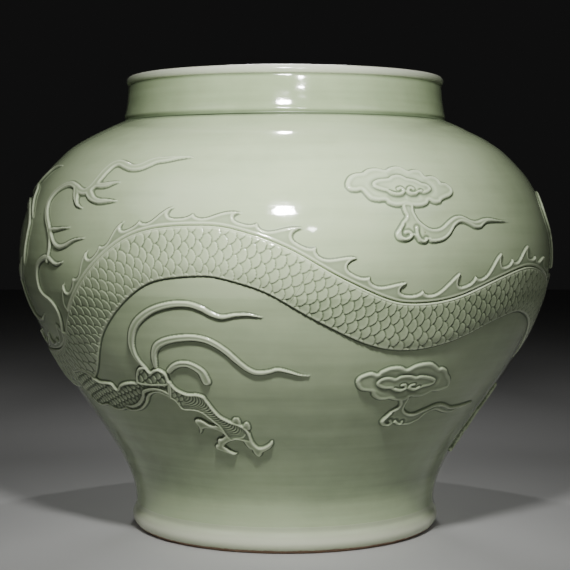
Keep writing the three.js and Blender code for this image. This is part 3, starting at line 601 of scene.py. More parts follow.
class Nodes:
    """Short way of laying out one node tree."""

    def __init__(self, tree: bpy.types.NodeTree) -> None:
        """Keeps the tree."""
        self.tree = tree

    def add(self, kind: str, **settings: object) -> Node:
        """New node.

        Args:
            kind: its type.
            settings: values of its own settings.

        Returns:
            The node.
        """
        node = self.tree.nodes.new(kind)
        for key, value in settings.items():
            setattr(node, key, value)
        return node

    def feed(self, node: Node, **values: object) -> Node:
        """Fills a node's inputs.

        Args:
            node: the node.
            values: a value or another socket for each input, named by its label with _ for a
                blank, or by _ and its number.

        Returns:
            The same node.
        """
        for key, value in values.items():
            socket = node.inputs[int(key[1:]) if key[1:].isdigit() else key.replace("_", " ")]
            if isinstance(value, Socket):
                self.tree.links.new(value, socket)
            else:
                socket.default_value = value
        return node

    def math(self, operation: str, first: object, second: object) -> Socket:
        """Result of one sum."""
        node = self.add("ShaderNodeMath", operation=operation)
        return self.feed(node, _0=first, _1=second).outputs[0]

    def weighed(self, *parts: Tuple[object, object]) -> Socket:
        """Sum of values that are each multiplied by a weight.

        Args:
            parts: pairs of a value and its weight.

        Returns:
            The sum.
        """
        total, *others = (self.math("MULTIPLY", value, weight) for value, weight in parts)
        for other in others:
            total = self.math("ADD", total, other)
        return total

    def mix(self, share: object, first: object, second: object) -> Socket:
        """Colour between two others.

        Args:
            share: from 0 for the first colour to 1 for the second.
            first: one colour.
            second: the other.

        Returns:
            The mixed colour.
        """
        node = self.add("ShaderNodeMix", data_type="RGBA")
        first, second = (
            one if isinstance(one, Socket) else (*one, 1.0) for one in (first, second)
        )
        return self.feed(node, _0=share, _6=first, _7=second).outputs[2]

    def ranged(self, value: object, low: float, high: float, to: Place = (0.0, 1.0)) -> Socket:
        """Value taken from one range to another, and kept in it."""
        node = self.add("ShaderNodeMapRange")
        return self.feed(node, _0=value, _1=low, _2=high, _3=to[0], _4=to[1]).outputs[0]

    def noise(self, at: object, scale: float, detail: float = 3.0, rough: float = 0.55) -> Socket:
        """Cloudy noise of a given fineness."""
        given = {"Vector": at, "Scale": scale, "Detail": detail, "Roughness": rough}
        return self.feed(self.add("ShaderNodeTexNoise"), **given).outputs["Fac"]

    def stretched(self, at: object, scale: Spot) -> Socket:
        """Places drawn out by a scale along each axis."""
        return self.feed(self.add("ShaderNodeMapping"), Vector=at, Scale=scale).outputs[0]

    def place(self) -> Socket:
        """Where on the piece a point lies, in metres."""
        return self.add("ShaderNodeTexCoord").outputs["Object"]


class Effect(Nodes):
    """Shader group of one effect, with named inputs and outputs."""

    def __init__(self, name: str, inputs: Dict[str, str], output: str, kind: str) -> None:
        """Makes the empty group.

        Args:
            name: the group's name.
            inputs: kind of each input socket.
            output: name of its output socket.
            kind: kind of that socket.
        """
        super().__init__(bpy.data.node_groups.new(name, "ShaderNodeTree"))
        sockets = [("INPUT", *item) for item in inputs.items()] + [("OUTPUT", output, kind)]
        for side, label, socket in sockets:
            self.tree.interface.new_socket(label, in_out=side, socket_type=f"NodeSocket{socket}")
        self.given = self.add("NodeGroupInput").outputs
        self.out = self.add("NodeGroupOutput")

    def used(self, nodes: Nodes, **values: object) -> Socket:
        """Lays the effect in a material, and gives its result."""
        node = nodes.add("ShaderNodeGroup", node_tree=self.tree)
        return nodes.feed(node, **values).outputs[0]


class DepthEffect(Effect):
    """Colour of the glaze by how deep it lies, clouded as celadon is."""

    def __init__(self) -> None:
        """Lays out broad, wiped and fine clouding over the depth."""
        colours = {label: "Color" for label in ("Thin", "Level", "Deep")}
        inputs = {"Pool": "Float", "Clouding": "Float", **colours}
        super().__init__("glaze_depth", inputs, "Colour", "Color")
        at, given = self.place(), self.given
        broad, fine = self.noise(at, 9.0), self.noise(at, 55.0, 4.0, 0.6)
        wiped = self.noise(self.stretched(at, (3.0, 3.0, 60.0)), 1.6)
        cloud = self.weighed((broad, 0.5), (wiped, 0.35), (fine, 0.15))
        cloud = self.math("MULTIPLY", self.math("SUBTRACT", cloud, 0.5), given["Clouding"])
        depth = self.math("ADD", given["Pool"], cloud)
        colour = self.mix(self.ranged(depth, LEVEL, 0.15), given["Level"], given["Thin"])
        self.feed(self.out, Colour=self.mix(self.ranged(depth, LEVEL, 0.95), colour, given["Deep"]))


class SpeckEffect(Effect):
    """Sparse pinholes and iron specks, as a mask."""

    def __init__(self) -> None:
        """Picks some cells and marks their middles."""
        super().__init__("glaze_specks", {"Amount": "Float"}, "Mask", "Float")
        cells = self.feed(self.add("ShaderNodeTexVoronoi"), Vector=self.place(), Scale=85.0).outputs
        chance = self.feed(self.add("ShaderNodeSeparateColor"), Color=cells["Color"]).outputs[0]
        chosen = self.math("LESS_THAN", chance, self.given["Amount"])
        near = self.ranged(cells["Distance"], 0.10, 0.03)
        self.feed(self.out, Mask=self.math("MULTIPLY", near, chosen))


class RippleEffect(Effect):
    """Height of the fine orange-peel and of the finger rings under the glaze."""

    def __init__(self) -> None:
        """Lays fine and broad peel over the rings."""
        super().__init__("glaze_ripple", {"Peel": "Float", "Rings": "Float"}, "Height", "Float")
        at, given = self.place(), self.given
        broad = self.math("MULTIPLY", self.noise(at, 26.0, 2.0), 2.4)
        ring = self.noise(self.stretched(at, (2.0, 2.0, 130.0)), 1.0, 2.0)
        fine = (self.noise(at, 140.0, 2.0), given["Peel"])
        height = self.weighed(fine, (broad, given["Peel"]), (ring, given["Rings"]))
        self.feed(self.out, Height=height)


class GlazeEffects:
    """Effects that every glazed finish shares."""

    def __init__(self) -> None:
        """Makes each effect once."""
        self.depth, self.specks, self.ripple = DepthEffect(), SpeckEffect(), RippleEffect()


IRON = (0.13, 0.10, 0.055)
DARK_CLAY = (0.16, 0.085, 0.045)
PALE_CLAY = (0.34, 0.22, 0.13)


@dataclass(frozen=True)
class Celadon:
    """One reading of the pale green glaze: its colours by depth, its gloss and its marks."""

    slot: Slot
    thin: Colour
    level: Colour
    deep: Colour
    clouding: float = 0.55
    specks: float = 0.012
    gloss: float = 0.085
    peel: float = 1.0
    rings: float = 1.0
    bare_below: float = 0.0
    coat: float = 0.25
    # where the glaze lies deep its shine is broken by dust and bubbles
    dull_from: float = 0.74
    dull_to: float = 0.92
    dull_gloss: float = 0.4
    bare_gloss: float = 0.6
    bump: float = 0.12
    bump_depth: float = 0.0006
    refraction: float = 1.52
    coat_gloss: float = 0.03

    def material(self, effects: GlazeEffects) -> bpy.types.Material:
        """Material of this glaze.

        Args:
            effects: the shared effects.

        Returns:
            The material.
        """
        material = bpy.data.materials.new(self.slot.value)
        material.use_nodes = True
        nodes = Nodes(material.node_tree)
        shader = material.node_tree.nodes["Principled BSDF"]
        # the pool attribute is glaze depth, and on the lower body, the body's lower edge and the
        # legs it also carries painted shade
        pool = nodes.add("ShaderNodeAttribute", attribute_name="pool").outputs["Fac"]
        given = (("Thin", self.thin), ("Level", self.level), ("Deep", self.deep))
        shades = {label: (*shade, 1.0) for label, shade in given}
        colour = effects.depth.used(nodes, Pool=pool, Clouding=self.clouding, **shades)
        freckle = nodes.math("MULTIPLY", effects.specks.used(nodes, Amount=self.specks), 0.55)
        colour = nodes.mix(freckle, colour, IRON)
        at = nodes.place()
        uneven = (self.gloss * 0.75, self.gloss * 1.35)
        gloss = nodes.ranged(nodes.noise(at, 30.0), 0.3, 0.7, uneven)
        dull = nodes.ranged(pool, self.dull_from, self.dull_to)
        gloss = nodes.math("ADD", gloss, nodes.math("MULTIPLY", dull, self.dull_gloss))
        coat = nodes.math("SUBTRACT", self.coat, nodes.math("MULTIPLY", dull, self.coat))
        if self.bare_below:
            bare = self.bare(nodes, at)
            clay = nodes.mix(nodes.noise(at, 210.0, 5.0), DARK_CLAY, PALE_CLAY)
            colour = nodes.mix(bare, colour, clay)
            gloss = nodes.math("ADD", gloss, nodes.math("MULTIPLY", bare, self.bare_gloss))
        ripple = effects.ripple.used(nodes, Peel=self.peel, Rings=self.rings)
        bump = nodes.add("ShaderNodeBump")
        nodes.feed(bump, Height=ripple, Strength=self.bump, Distance=self.bump_depth)
        nodes.feed(shader, Base_Color=colour, Roughness=gloss, Normal=bump.outputs[0])
        nodes.feed(shader, IOR=self.refraction, Coat_Weight=coat, Coat_Roughness=self.coat_gloss)
        return material

    def bare(self, nodes: Nodes, at: Socket) -> Socket:
        """Mask of the clay under the glaze's ragged lower edge.

        Args:
            nodes: the material's nodes.
            at: places on the piece.

        Returns:
            1 on bare clay, 0 on glaze.
        """
        height = nodes.feed(nodes.add("ShaderNodeSeparateXYZ"), Vector=at).outputs["Z"]
        ragged = nodes.math("MULTIPLY", nodes.noise(at, 120.0), 0.0022)
        line = nodes.math("SUBTRACT", nodes.math("ADD", height, ragged), self.bare_below)
        return nodes.ranged(line, 0.0016, 0.0004)


# ---- what every sub-assembly needs


@dataclass
class Workshop:
    """Wall, finishes and the usual step of a relief's grid, handed to every sub-assembly."""

    wall: Wall
    finishes: Dict[Slot, bpy.types.Material]
    step: float = 0.8

    def dress(self, piece: Piece, slot: Slot, *nodes: str) -> None:
        """Gives a piece its finish, lets it ride on the jar and stand for its CAD nodes.

        Args:
            piece: the piece.
            slot: the record's slot of its finish.
            nodes: CAD nodes that it replaces.
        """
        piece.data.materials.append(self.finishes[slot])
        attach(piece, BODY)
        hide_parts(*nodes)
        LOG.info("%s: %d faces, for %s", piece.name, len(piece.data.polygons), ", ".join(nodes))


@dataclass
class ThrownPieces:
    """Foot ring, two bowls, neck collar and lip."""

    shop: Workshop
    segments: int = 360
    row: float = 2.4
    joint: float = 0.15
    axis: float = 0.4
    inner_rows: int = 60

    def around(self) -> Array:
        """Degrees of the places round the axis."""
        return np.arange(self.segments) * 360.0 / self.segments

    def ring(self, outline: Array, wobble: float = 0.0) -> Array:
        """Outline of radii and heights turned round the axis, in metres.

        Args:
            outline: radius and height in millimetres, one row each.
            wobble: millimetres that the thrown radius strays inwards at most.

        Returns:
            Coordinates, [station, place round, xyz].
        """
        angle = np.radians(self.around())[None]
        radius, height = outline[:, :1], outline[:, 1:]
        stray = 0.5 + 0.3 * np.sin(2 * angle + height / 9.0)
        stray = stray + 0.2 * np.sin(height / 2.3 + 1.2 * np.sin(angle))
        radius = radius - wobble * stray
        level = np.broadcast_to(height, radius.shape)
        return np.stack([radius * np.sin(angle), -radius * np.cos(angle), level], -1) * METRES

    def outside(self, low: float, high: float) -> Tuple[Array, Array]:
        """Outer surface of the wall between two rises.

        Args:
            low: lower rise.
            high: upper rise.

        Returns:
            Coordinates in metres, and the rises of the stations.
        """
        rise = np.linspace(low, high, int((high - low) / self.row) + 2)
        rise = np.insert(rise, [1, len(rise) - 1], [low + self.joint, high - self.joint])
        grid = np.meshgrid(self.around(), rise)
        return self.shop.wall.points(grid[0], grid[1], np.zeros(grid[0].shape)), rise

    def inside(self, low: float, high: float) -> Array:
        """Inner line of the wall, a wall's thickness inside the outer one, from high to low.

        Args:
            low: lower height.
            high: upper height.

        Returns:
            Radius and height in millimetres, one row each.
        """
        wall = self.shop.wall
        thick = wall.line.thickness
        radius, height = wall.radius - thick * wall.outwards, wall.height - thick * wall.upwards
        level = np.linspace(high, low, self.inner_rows + 1)
        keep = np.concatenate([[True], np.diff(height) > 0])
        return np.stack([np.interp(level, height[keep], radius[keep]), level], -1)

    def lay(self, node: str, slot: Slot, rings: Array, pool: Array, outer: int) -> None:
        """Turns one piece and gives it its finish."""
        self.shop.dress(turned(f"{node}_thrown", rings, pool, outer), slot, node)

    def build(self) -> None:
        """Turns the five thrown pieces."""
        line, wall, axis = self.shop.wall.line, self.shop.wall, self.axis
        bore = line.foot_toe_radius - line.foot_width
        floor = line.recess + line.floor
        neck_bore, neck_foot = line.neck_top_radius - line.neck_wall, line.neck_foot_height
        self.foot(bore)
        under = (bore - 0.4, line.recess), (bore - 0.4, line.waist_height)
        self.bowl("lower_bowl", wall.waist, wall.seam, [
            self.inside(line.waist_height * 2, line.seam_height),
            spline([(131, 48), (124, 33), (104, floor + 1.2), (60, floor), (axis, floor)], 6)[1:],
            [(axis, line.recess), *under],
        ])
        self.bowl("upper_bowl", wall.seam, wall.top, [
            [(neck_bore + 2.2, neck_foot), (neck_bore + 2.5, neck_foot - 5)],
            self.inside(line.seam_height, neck_foot - line.thickness),
        ])
        self.neck(neck_bore, neck_foot + line.neck_rise)

    def bowl(self, node: str, low: float, high: float, inner: Sequence[Points]) -> None:
        """Turns one bowl, with the glaze darker at the seam and at the foot of the neck, and
        painted shade on the lower bowl.

        Args:
            node: the CAD node that it replaces.
            low: lower rise of its outside.
            high: upper rise.
            inner: lines of its inside, each as radii and heights from high to low.
        """
        wall, inside = self.shop.wall, np.vstack(inner)
        outer, rise = self.outside(low, high)
        # the wall's term also paints shade over the lower body
        depth = LEVEL + wall.seam_band_and_painted_shade(rise) + 0.5 * hump(rise, wall.top, 3.5)
        pool = np.concatenate([depth, np.full(len(inside), LEVEL)])
        rings = np.concatenate([outer, self.ring(inside)])
        self.lay(node, Slot.WALL, rings, pool, len(rise))

    def foot(self, bore: float) -> None:
        """Foot ring with a rounded band and a bare toe.

        Args:
            bore: radius of the hollow inside the ring.
        """
        line = self.shop.wall.line
        waist, toe, high = line.waist_radius, line.foot_toe_radius, line.waist_height
        bulge = waist + line.foot_bulge
        outer = spline([
            (toe - 1.6, 0.0), (toe, 0.7), (toe + 2.6, 3.4), (bulge - 0.9, 6.6), (bulge - 0.1, 10.6),
            (bulge - 0.9, 15.6), (waist + 0.75, 20.2), (waist + 0.1, 24.5), (waist, high - 0.3),
            (waist, high),
        ], 8)
        inner = np.array([(bore, high), (bore, 12.0), (bore, 2.0), (bore + 1.6, 0.0)])
        outline = np.vstack([outer, inner])
        height = outline[:, 1]
        pool = LEVEL + 0.12 * smooth(18.0, high, height) - 0.35 * hump(height, 11.0, 5.0)
        self.lay("foot_ring", Slot.FOOT, self.ring(outline, 0.12), pool, len(outer))

    def neck(self, bore: float, top: float) -> None:
        """Neck collar with its foot groove, and the rounded lip.

        Args:
            bore: inner radius.
            top: height where the lip starts.
        """
        line = self.shop.wall.line
        low, radius, rise = line.neck_foot_height, line.neck_top_radius, line.neck_rise
        foot = line.neck_foot_radius
        outer = spline([
            (foot - 1.6, low), (foot - 2.4, low + 1.6), (radius + 4.0, low + 4.2),
            (radius + 3.2, low + 8.0), (radius + 1.5, low + rise * 0.5),
            (radius + 0.4, low + rise * 0.8), (radius - 0.1, top - 1.4), (radius - 0.5, top),
        ], 8)
        inner = spline([(bore, top), (bore + 0.6, low + rise * 0.5), (bore + 1.8, low)], 8)
        outline = np.vstack([outer, inner])
        height = outline[:, 1]
        pool = 0.56 + 0.42 * hump(height, low, 2.6) + 0.3 * hump(height, top, 1.6)
        self.lay("neck_collar", Slot.NECK, self.ring(outline, 0.3), pool, len(outer))
        edge = line.lip_rise - 0.03
        bead = [
            (-0.6, 0), (1.2, 0.16), (line.lip_bulge, 0.45), (1.4, 0.76), (-0.6, 0.95), (-3.2, 1),
            (-6, 0.93), (bore + 0.2 - radius, 0.62), (bore - radius, 0),
        ]
        outline = spline([(radius + out, top + edge * up) for out, up in bead], 7)
        pool = 0.42 - 0.3 * smooth(0.6, 0.95, (outline[:, 1] - top) / edge)
        self.lay("lip_roll", Slot.LIP, self.ring(outline, 0.14), pool, len(outline))


# ---- the dragon's body and its crest


class Course:
    """Smooth line round the wall that can be followed, with places beside it."""

    def __init__(self, wall: Wall, azimuth: Array, rise: Array, half: Array) -> None:
        """Measures the line.

        Args:
            wall: the wall it runs on.
            azimuth: azimuths of its places.
            rise: their rises.
            half: half widths of what follows it.
        """
        self.wall, self.azimuth, self.rise, self.half = wall, azimuth, rise, half
        self.scale = wall.degree(rise)
        east, north = np.gradient(azimuth) * self.scale, np.gradient(rise)
        run = np.hypot(east, north)
        self.east, self.north = east / run, north / run
        steps = np.hypot(np.diff(azimuth) * (self.scale[1:] + self.scale[:-1]) / 2, np.diff(rise))
        self.gone = np.concatenate([[0.0], np.cumsum(steps)])

    def at(self, gone: Array, measure: Array) -> Array:
        """Value of one measure at distances along the line."""
        return np.interp(gone, self.gone, measure)

    def beside(self, gone: Array, aside: Array) -> Tuple[Array, Array]:
        """Finds places beside the line.

        Args:
            gone: how far along the line they are.
            aside: how far beside it, positive on its upper side.

        Returns:
            Their azimuths and rises.
        """
        turn = aside * self.at(gone, self.north) / self.at(gone, self.scale)
        lift = aside * self.at(gone, self.east)
        return self.at(gone, self.azimuth) + turn, self.at(gone, self.rise) - lift

    def relaxed(self, width: float) -> "Course":
        """The same line with its small kinks eased out.

        Args:
            width: millimetres over which they are eased.

        Returns:
            The new line.
        """
        gone = np.arange(0.0, self.gone[-1], 1.0)
        reach = int(3 * width)
        weights = bell(reach, width)
        eased = []
        for measure in (self.azimuth, self.rise, self.half):
            wide = np.pad(self.at(gone, measure), reach, mode="reflect", reflect_type="odd")
            eased.append(np.convolve(wide, weights, "valid") / weights.sum())
        return Course(self.wall, *eased)

    def nearest(self, azimuth: float, rise: float) -> Place:
        """Measures where a place lies from the line.

        Args:
            azimuth: the place's azimuth.
            rise: its rise.

        Returns:
            How far along the line it lies, and how far above it.
        """
        east, north = (azimuth - self.azimuth) * self.scale, rise - self.rise
        best = int(np.hypot(east, north).argmin())
        above = east[best] * self.north[best] - north[best] * self.east[best]
        return float(self.gone[best]), float(above)

    def reached(self, azimuth: float) -> float:
        """How far along the line an azimuth is first reached, going down."""
        return float(self.gone[np.argmax(self.azimuth <= azimuth)])


SPINE = (
    (152, 14, 6), (149, -8, 10), (143, -36, 13.5), (136, -62, 16), (127, -86, 18), (117, -102, 19),
    (106, -108, 20), (96, -104, 21), (87, -91, 21.5), (80, -73, 21.5), (74, -54, 21.5),
    (68, -40, 21.5), (61.2, -31, 21.2), (55.2, -28.3, 21.3), (46.3, -36.5, 21), (36.1, -51.7, 21.5),
    (27, -57.6, 22.3), (18.8, -53, 21.8), (7.8, -30.1, 21), (-1.9, -4.9, 20.6), (-10.9, 8.3, 21),
    (-15.3, 10.4, 21), (-24.1, 7.5, 21.7), (-30, -1.5, 22), (-37, -23.8, 21.3), (-44.2, -53, 21),
    (-48, -73, 21.5), (-52.3, -94, 22), (-58.5, -107.5, 21.5), (-66, -113, 21.5), (-75, -114, 21),
    (-84, -112, 20), (-92, -103, 19), (-99, -86, 18), (-103, -64, 17), (-105, -40, 16.5),
    (-107, -17, 16), (-110.5, 6, 15.5), (-113, 24, 15),
)


@dataclass
class Scales:
    """Overlapping round scales whose free edges point one way.

    Pitch and row are the steps along and across, and stray is how far a scale strays from them.
    """

    pitch: float = 12.7
    row: float = 6.6
    radius: float = 7.4
    lift: float = 0.95
    groove: float = 0.3
    line: float = 0.7
    stray: float = 0.5

    def height(self, along: Array, across: Array) -> Tuple[Array, Array]:
        """How far the scales stand up, and where their edges are impressed.

        Args:
            along: millimetres in the direction that the free edges point to.
            across: millimetres across the rows.

        Returns:
            Heights in millimetres, and a mask that is 1 in the lines round the scales.
        """
        chances = np.random.default_rng(SCALE_SEED).uniform(-1.0, 1.0, (SCALE_CHANCES, 2))
        chance = chances * self.stray
        row = np.floor(across / self.row)
        middles, aways = [], []
        for nearby in (-1, 0, 1, 2):
            line = row + nearby
            offset = np.where(line % 2 == 0, 0.0, self.pitch / 2)
            for one in (-1, 0, 1):
                count = np.floor((along - offset) / self.pitch) + one
                pick = (count * 31 + line * 17).astype(int) % SCALE_CHANCES
                middles.append(count * self.pitch + offset + chance[pick, 0])
                aside = across - line * self.row - chance[pick, 1]
                aways.append(np.hypot(along - middles[-1], aside))
        middle, away = np.array(middles), np.array(aways)
        best = np.where(away < self.radius, middle, 9e9).min(0)  # the lowest scale lies on top
        gap = np.where((middle < best) & (away >= self.radius), away - self.radius, 9.0).min(0)
        best = np.where(best > 9e8, along, best)  # a place between all scales
        line = np.exp(-((gap / self.line) ** 2))
        tilt = np.clip(0.5 + 0.5 * (along - best) / self.radius, 0.0, 1.0)
        return self.lift * tilt**1.3 - self.groove * line, line


@dataclass
class DragonBody:
    """Scaled body in six stretches, under a thin cord along its back."""

    shop: Workshop
    spine: Course
    limbs: List[Plate]
    height: float = 2.8
    highest: float = 3.45
    cord_rise: float = 0.65
    cord_in: float = 0.85
    full_half: float = 21.5
    margin: float = 2.4
    under_limb: float = 1.2
    # each stretch, from the tail on, and the azimuth at which it starts
    cuts: Dict[str, float] = field(
        default_factory=lambda: {
            "dragon_tail": 999.0, "dragon_haunch": 124.0, "dragon_loins": 67.0,
            "dragon_trunk": 3.0, "dragon_chest": -47.0, "dragon_neck": -80.0,
        }
    )

    def whole(self) -> Tuple[Patch, Array]:
        """Lays the body in one run along its spine.

        Returns:
            The patch, and the depth of its glaze, with a painted shadow line along the lower edge.
        """
        spine, step = self.spine, self.step
        gone = np.arange(0.0, spine.gone[-1], step)
        half = spine.at(gone, spine.half)
        count = int(2 * (self.full_half + self.margin) / step) + 1
        aside = np.linspace(-1.0, 1.0, count)[:, None] * (half + self.margin)[None]
        patch = Patch(self.shop.wall, *spine.beside(np.broadcast_to(gone, aside.shape), aside))
        upper, lower = half - aside, half + aside
        patch.edge = np.minimum(np.minimum(upper, lower), gone + 1.0)
        size = half / self.full_half
        along = np.concatenate([[0.0], np.cumsum(step / size[1:])])
        pattern, lines = Scales().height(-np.broadcast_to(along, aside.shape), upper / size)
        inner = smooth(1.6, 2.4, upper) * smooth(0.2, 1.0, lower)
        level = self.height * (0.66 + 0.34 * smooth(0.0, 12.0, lower)) * np.sqrt(size)
        side = np.minimum(shoulder(upper, 1.0, 1.0), shoulder(lower, 1.0, 0.8))
        clay = side * (level - 0.75 * size) + softened(pattern, 0.5) * inner * size
        clay = clay + cord(upper - self.cord_in, self.cord_rise, 0.95) * size
        clay = np.minimum(clay, self.highest) * smooth(-0.2, 0.3, patch.edge)
        patch.proud = clay + skirt(patch.edge)
        for limb in self.limbs:
            lowered = 3.4 - (3.4 - self.under_limb) * smooth(0.6, 2.0, patch.inside(limb))
            patch.proud = np.minimum(patch.proud, lowered)
        # the scale lines hold pooled glaze; the strip along the lower edge is partly pooled glaze
        # and partly a painted shadow line under the body
        more = 0.2 * softened(lines, 0.6) * inner + 0.3 * (1.0 - smooth(0.1, 0.7, lower))
        return patch, patch.pooled(2.4, 1.1, more)

    @property
    def step(self) -> float:
        """Millimetres between the places of the body's grid."""
        return self.shop.step * FINE

    def build(self) -> None:
        """Lays the whole body, then cuts it into its stretches."""
        patch, pool = self.whole()
        names = list(self.cuts)
        reached = (self.spine.reached(self.cuts[name]) for name in names[1:])
        starts = [0] + [int(gone / self.step) for gone in reached]
        ends = starts[1:] + [patch.rise.shape[1] - 1]
        for name, first, last in zip(names, starts, ends):
            part = (slice(None), slice(first, last + 1))
            stretch = Patch(self.shop.wall, patch.azimuth[part], patch.rise[part])
            stretch.edge, stretch.proud = patch.edge[part], patch.proud[part]
            self.shop.dress(stretch.piece(f"{name}_scaled", pool[part]), Slot.DRAGON, name)


@dataclass
class Crest:
    """Band along the back with tall flame hooks and short ones in turn, leaning to the tail."""

    shop: Workshop
    spine: Course
    channel: float = 0.55
    period: float = 50.0
    lean: float = 8.0
    height: float = 2.0
    width: float = 1.3
    highest: float = 23.0
    tall: float = 17.5
    tall_range: Place = (14.0, 19.5)
    short_shift: float = 0.17
    before: int = 10
    after: int = 9
    # tips of the tall hooks that can be measured, from the tail side to the head side
    tips: Points = (
        (66.8, -2.5), (56.9, 11.3), (46.4, 5.8), (35, -8.3), (23, -17.5), (13.2, 5), (3.2, 29.5),
        (-8.3, 42.3), (-21.4, 47.5), (-32.2, 33.2), (-40.6, 7.6), (-48.9, -21),
    )
    stretches: Dict[str, Tuple[int, int]] = field(
        default_factory=lambda: {
            "crest_tail": (0, 6), "crest_haunch": (7, 15), "crest_loins": (16, 24),
            "crest_trunk": (25, 38), "crest_chest": (40, 43), "crest_neck": (44, 50),
        }
    )
    # stretches that end in a slope of their own, towards the tail and towards the head
    free_tails: Tuple[str, ...] = ("crest_tail", "crest_chest")
    free_heads: Tuple[str, ...] = ("crest_trunk", "crest_neck")
    # one period of the crest's edge, in millimetres tailward of a tall tip and above the foot line
    edge: Points = (
        (0, 18.2), (-2.3, 16), (-4.2, 13), (-4.6, 10.2), (-3.2, 7.8), (-0.4, 6.6), (3.5, 6.2),
        (7.5, 6.4), (11, 7.2), (13.6, 8.6), (15.6, 10.2), (16.6, 8.7), (18.4, 6.9), (21.4, 5.9),
        (25, 6.0), (29, 7.4), (33.2, 10.0), (38.4, 13.6), (43.4, 16.6), (47.2, 18),
    )

    def ridge(self) -> Course:
        """Foot line of the crest.

        Returns:
            The line, a channel's width above the body.
        """
        spine = self.spine
        azimuth, rise = spine.beside(spine.gone, spine.half + self.channel)
        apart = np.hypot(np.diff(azimuth) * spine.scale[1:], np.diff(rise))
        kept = np.concatenate([[True], apart > 0.2])
        ridge = Course(self.shop.wall, azimuth[kept], rise[kept], spine.half[kept])
        ridge.east, ridge.north = spine.east[kept], spine.north[kept]
        return ridge

    def tall_hooks(self, ridge: Course) -> Tuple[Array, Array]:
        """Where the tall hooks' tips stand along the ridge, and how high.

        Args:
            ridge: the crest's foot line.

        Returns:
            Distances along the ridge, and heights, both counted from the tail.
        """
        seen = np.array([ridge.nearest(*tip) for tip in self.tips])
        before = seen[0, 0] - self.period * np.arange(self.before, 0, -1)
        after = seen[-1, 0] + self.period * np.arange(1, self.after + 1)
        others = (self.before, self.after)
        heights = np.clip(seen[:, 1], *self.tall_range)
        heights = np.pad(heights, others, constant_values=self.tall)
        return np.concatenate([before, seen[:, 0], after]), heights

    def hook(self, tall: Array, number: int) -> float:
        """Where a hook's foot stands. Even hooks are tall, and 0 is the one nearest the tail."""
        place = number / 2 + 2 + (self.short_shift if number % 2 else 0.0)
        return float(np.interp(place, np.arange(len(tall)), tall)) + self.lean

    def running_edge(self, tall: Array, heights: Array) -> Array:
        """Edge of the whole crest, hook after hook.

        Args:
            tall: where the tall hooks' tips stand.
            heights: how high they stand.

        Returns:
            Distances along the ridge and heights, one row each.
        """
        run = []
        for near, far, low, high in zip(tall[:-1], tall[1:], heights[:-1], heights[1:]):
            for along, up in reversed(self.edge):
                share = along / self.period
                top = high + (low - high) * np.clip(share, 0.0, 1.0)
                taller = 1.0 + (top / 18.0 - 1.0) * up / 18.0
                run.append((far - share * (far - near), up * taller))
        return np.array(run)

    def build(self) -> None:
        """Cuts the crest's stretches from the running edge."""
        ridge, step = self.ridge(), self.shop.step * COARSE
        tall, heights = self.tall_hooks(ridge)
        run = self.running_edge(tall, heights)
        for name, (first, last) in self.stretches.items():
            start = (self.hook(tall, first - 1) + self.hook(tall, first)) / 2
            end = (self.hook(tall, last) + self.hook(tall, last + 1)) / 2
            start, end = max(start, 2.0), min(end, float(ridge.gone[-1]) - 2.0)
            edge = spline(run[(run[:, 0] > start - 30) & (run[:, 0] < end + 30)], 4)
            shape = Plate(np.vstack([edge, [(edge[-1, 0], 0.0), (edge[0, 0], 0.0), edge[0]]]))
            along, up = np.meshgrid(
                np.arange(start, end + step, step), np.arange(-2.4, self.highest, step)
            )
            patch = Patch(self.shop.wall, *ridge.beside(along, up))
            patch.edge = shape.inside(Grid(along, up, np.ones(along.shape)))
            if name in self.free_tails:
                patch.edge = np.minimum(patch.edge, (along - start - 2.2) * 0.8 - up * 0.15)
            if name in self.free_heads:
                patch.edge = np.minimum(patch.edge, (end - 2.2 - along) * 0.8 - up * 0.3)
            dip = 0.35 * smooth(1.5, 2.8, patch.edge)
            patch.proud = shoulder(patch.edge, self.height, self.width) - dip + skirt(patch.edge)
            pool = patch.pooled(2.0, more=0.13 * smooth(1.3, 2.6, patch.edge))
            self.shop.dress(patch.piece(f"{name}_hooks", pool), Slot.CREST, name)


# ---- strands: streamers, flames, mane, horns


@dataclass
class Strands:
    """Tapering rolls of clay that flow from the dragon's limbs, shoulders and head."""

    shop: Workshop
    height: float = 1.95
    width: float = 1.7
    melt: float = 2.2

    def lay(self, name: str, node: str, lines: Sequence[Points], slot: Slot = Slot.CREST) -> None:
        """Lays one piece of strands that run into each other.

        Args:
            name: the piece's name.
            node: the CAD node that it replaces.
            lines: places with half widths of each strand.
            slot: slot of its finish.
        """
        rolls = [roll(line) for line in lines]
        patch = Patch.round(self.shop.wall, rolls, self.shop.step * COARSE, self.melt)
        dip = 0.3 * smooth(1.6, 2.8, patch.edge)
        patch.proud = shoulder(patch.edge, self.height, self.width) - dip + skirt(patch.edge)
        self.shop.dress(patch.piece(name, patch.pooled(2.0)), slot, node)


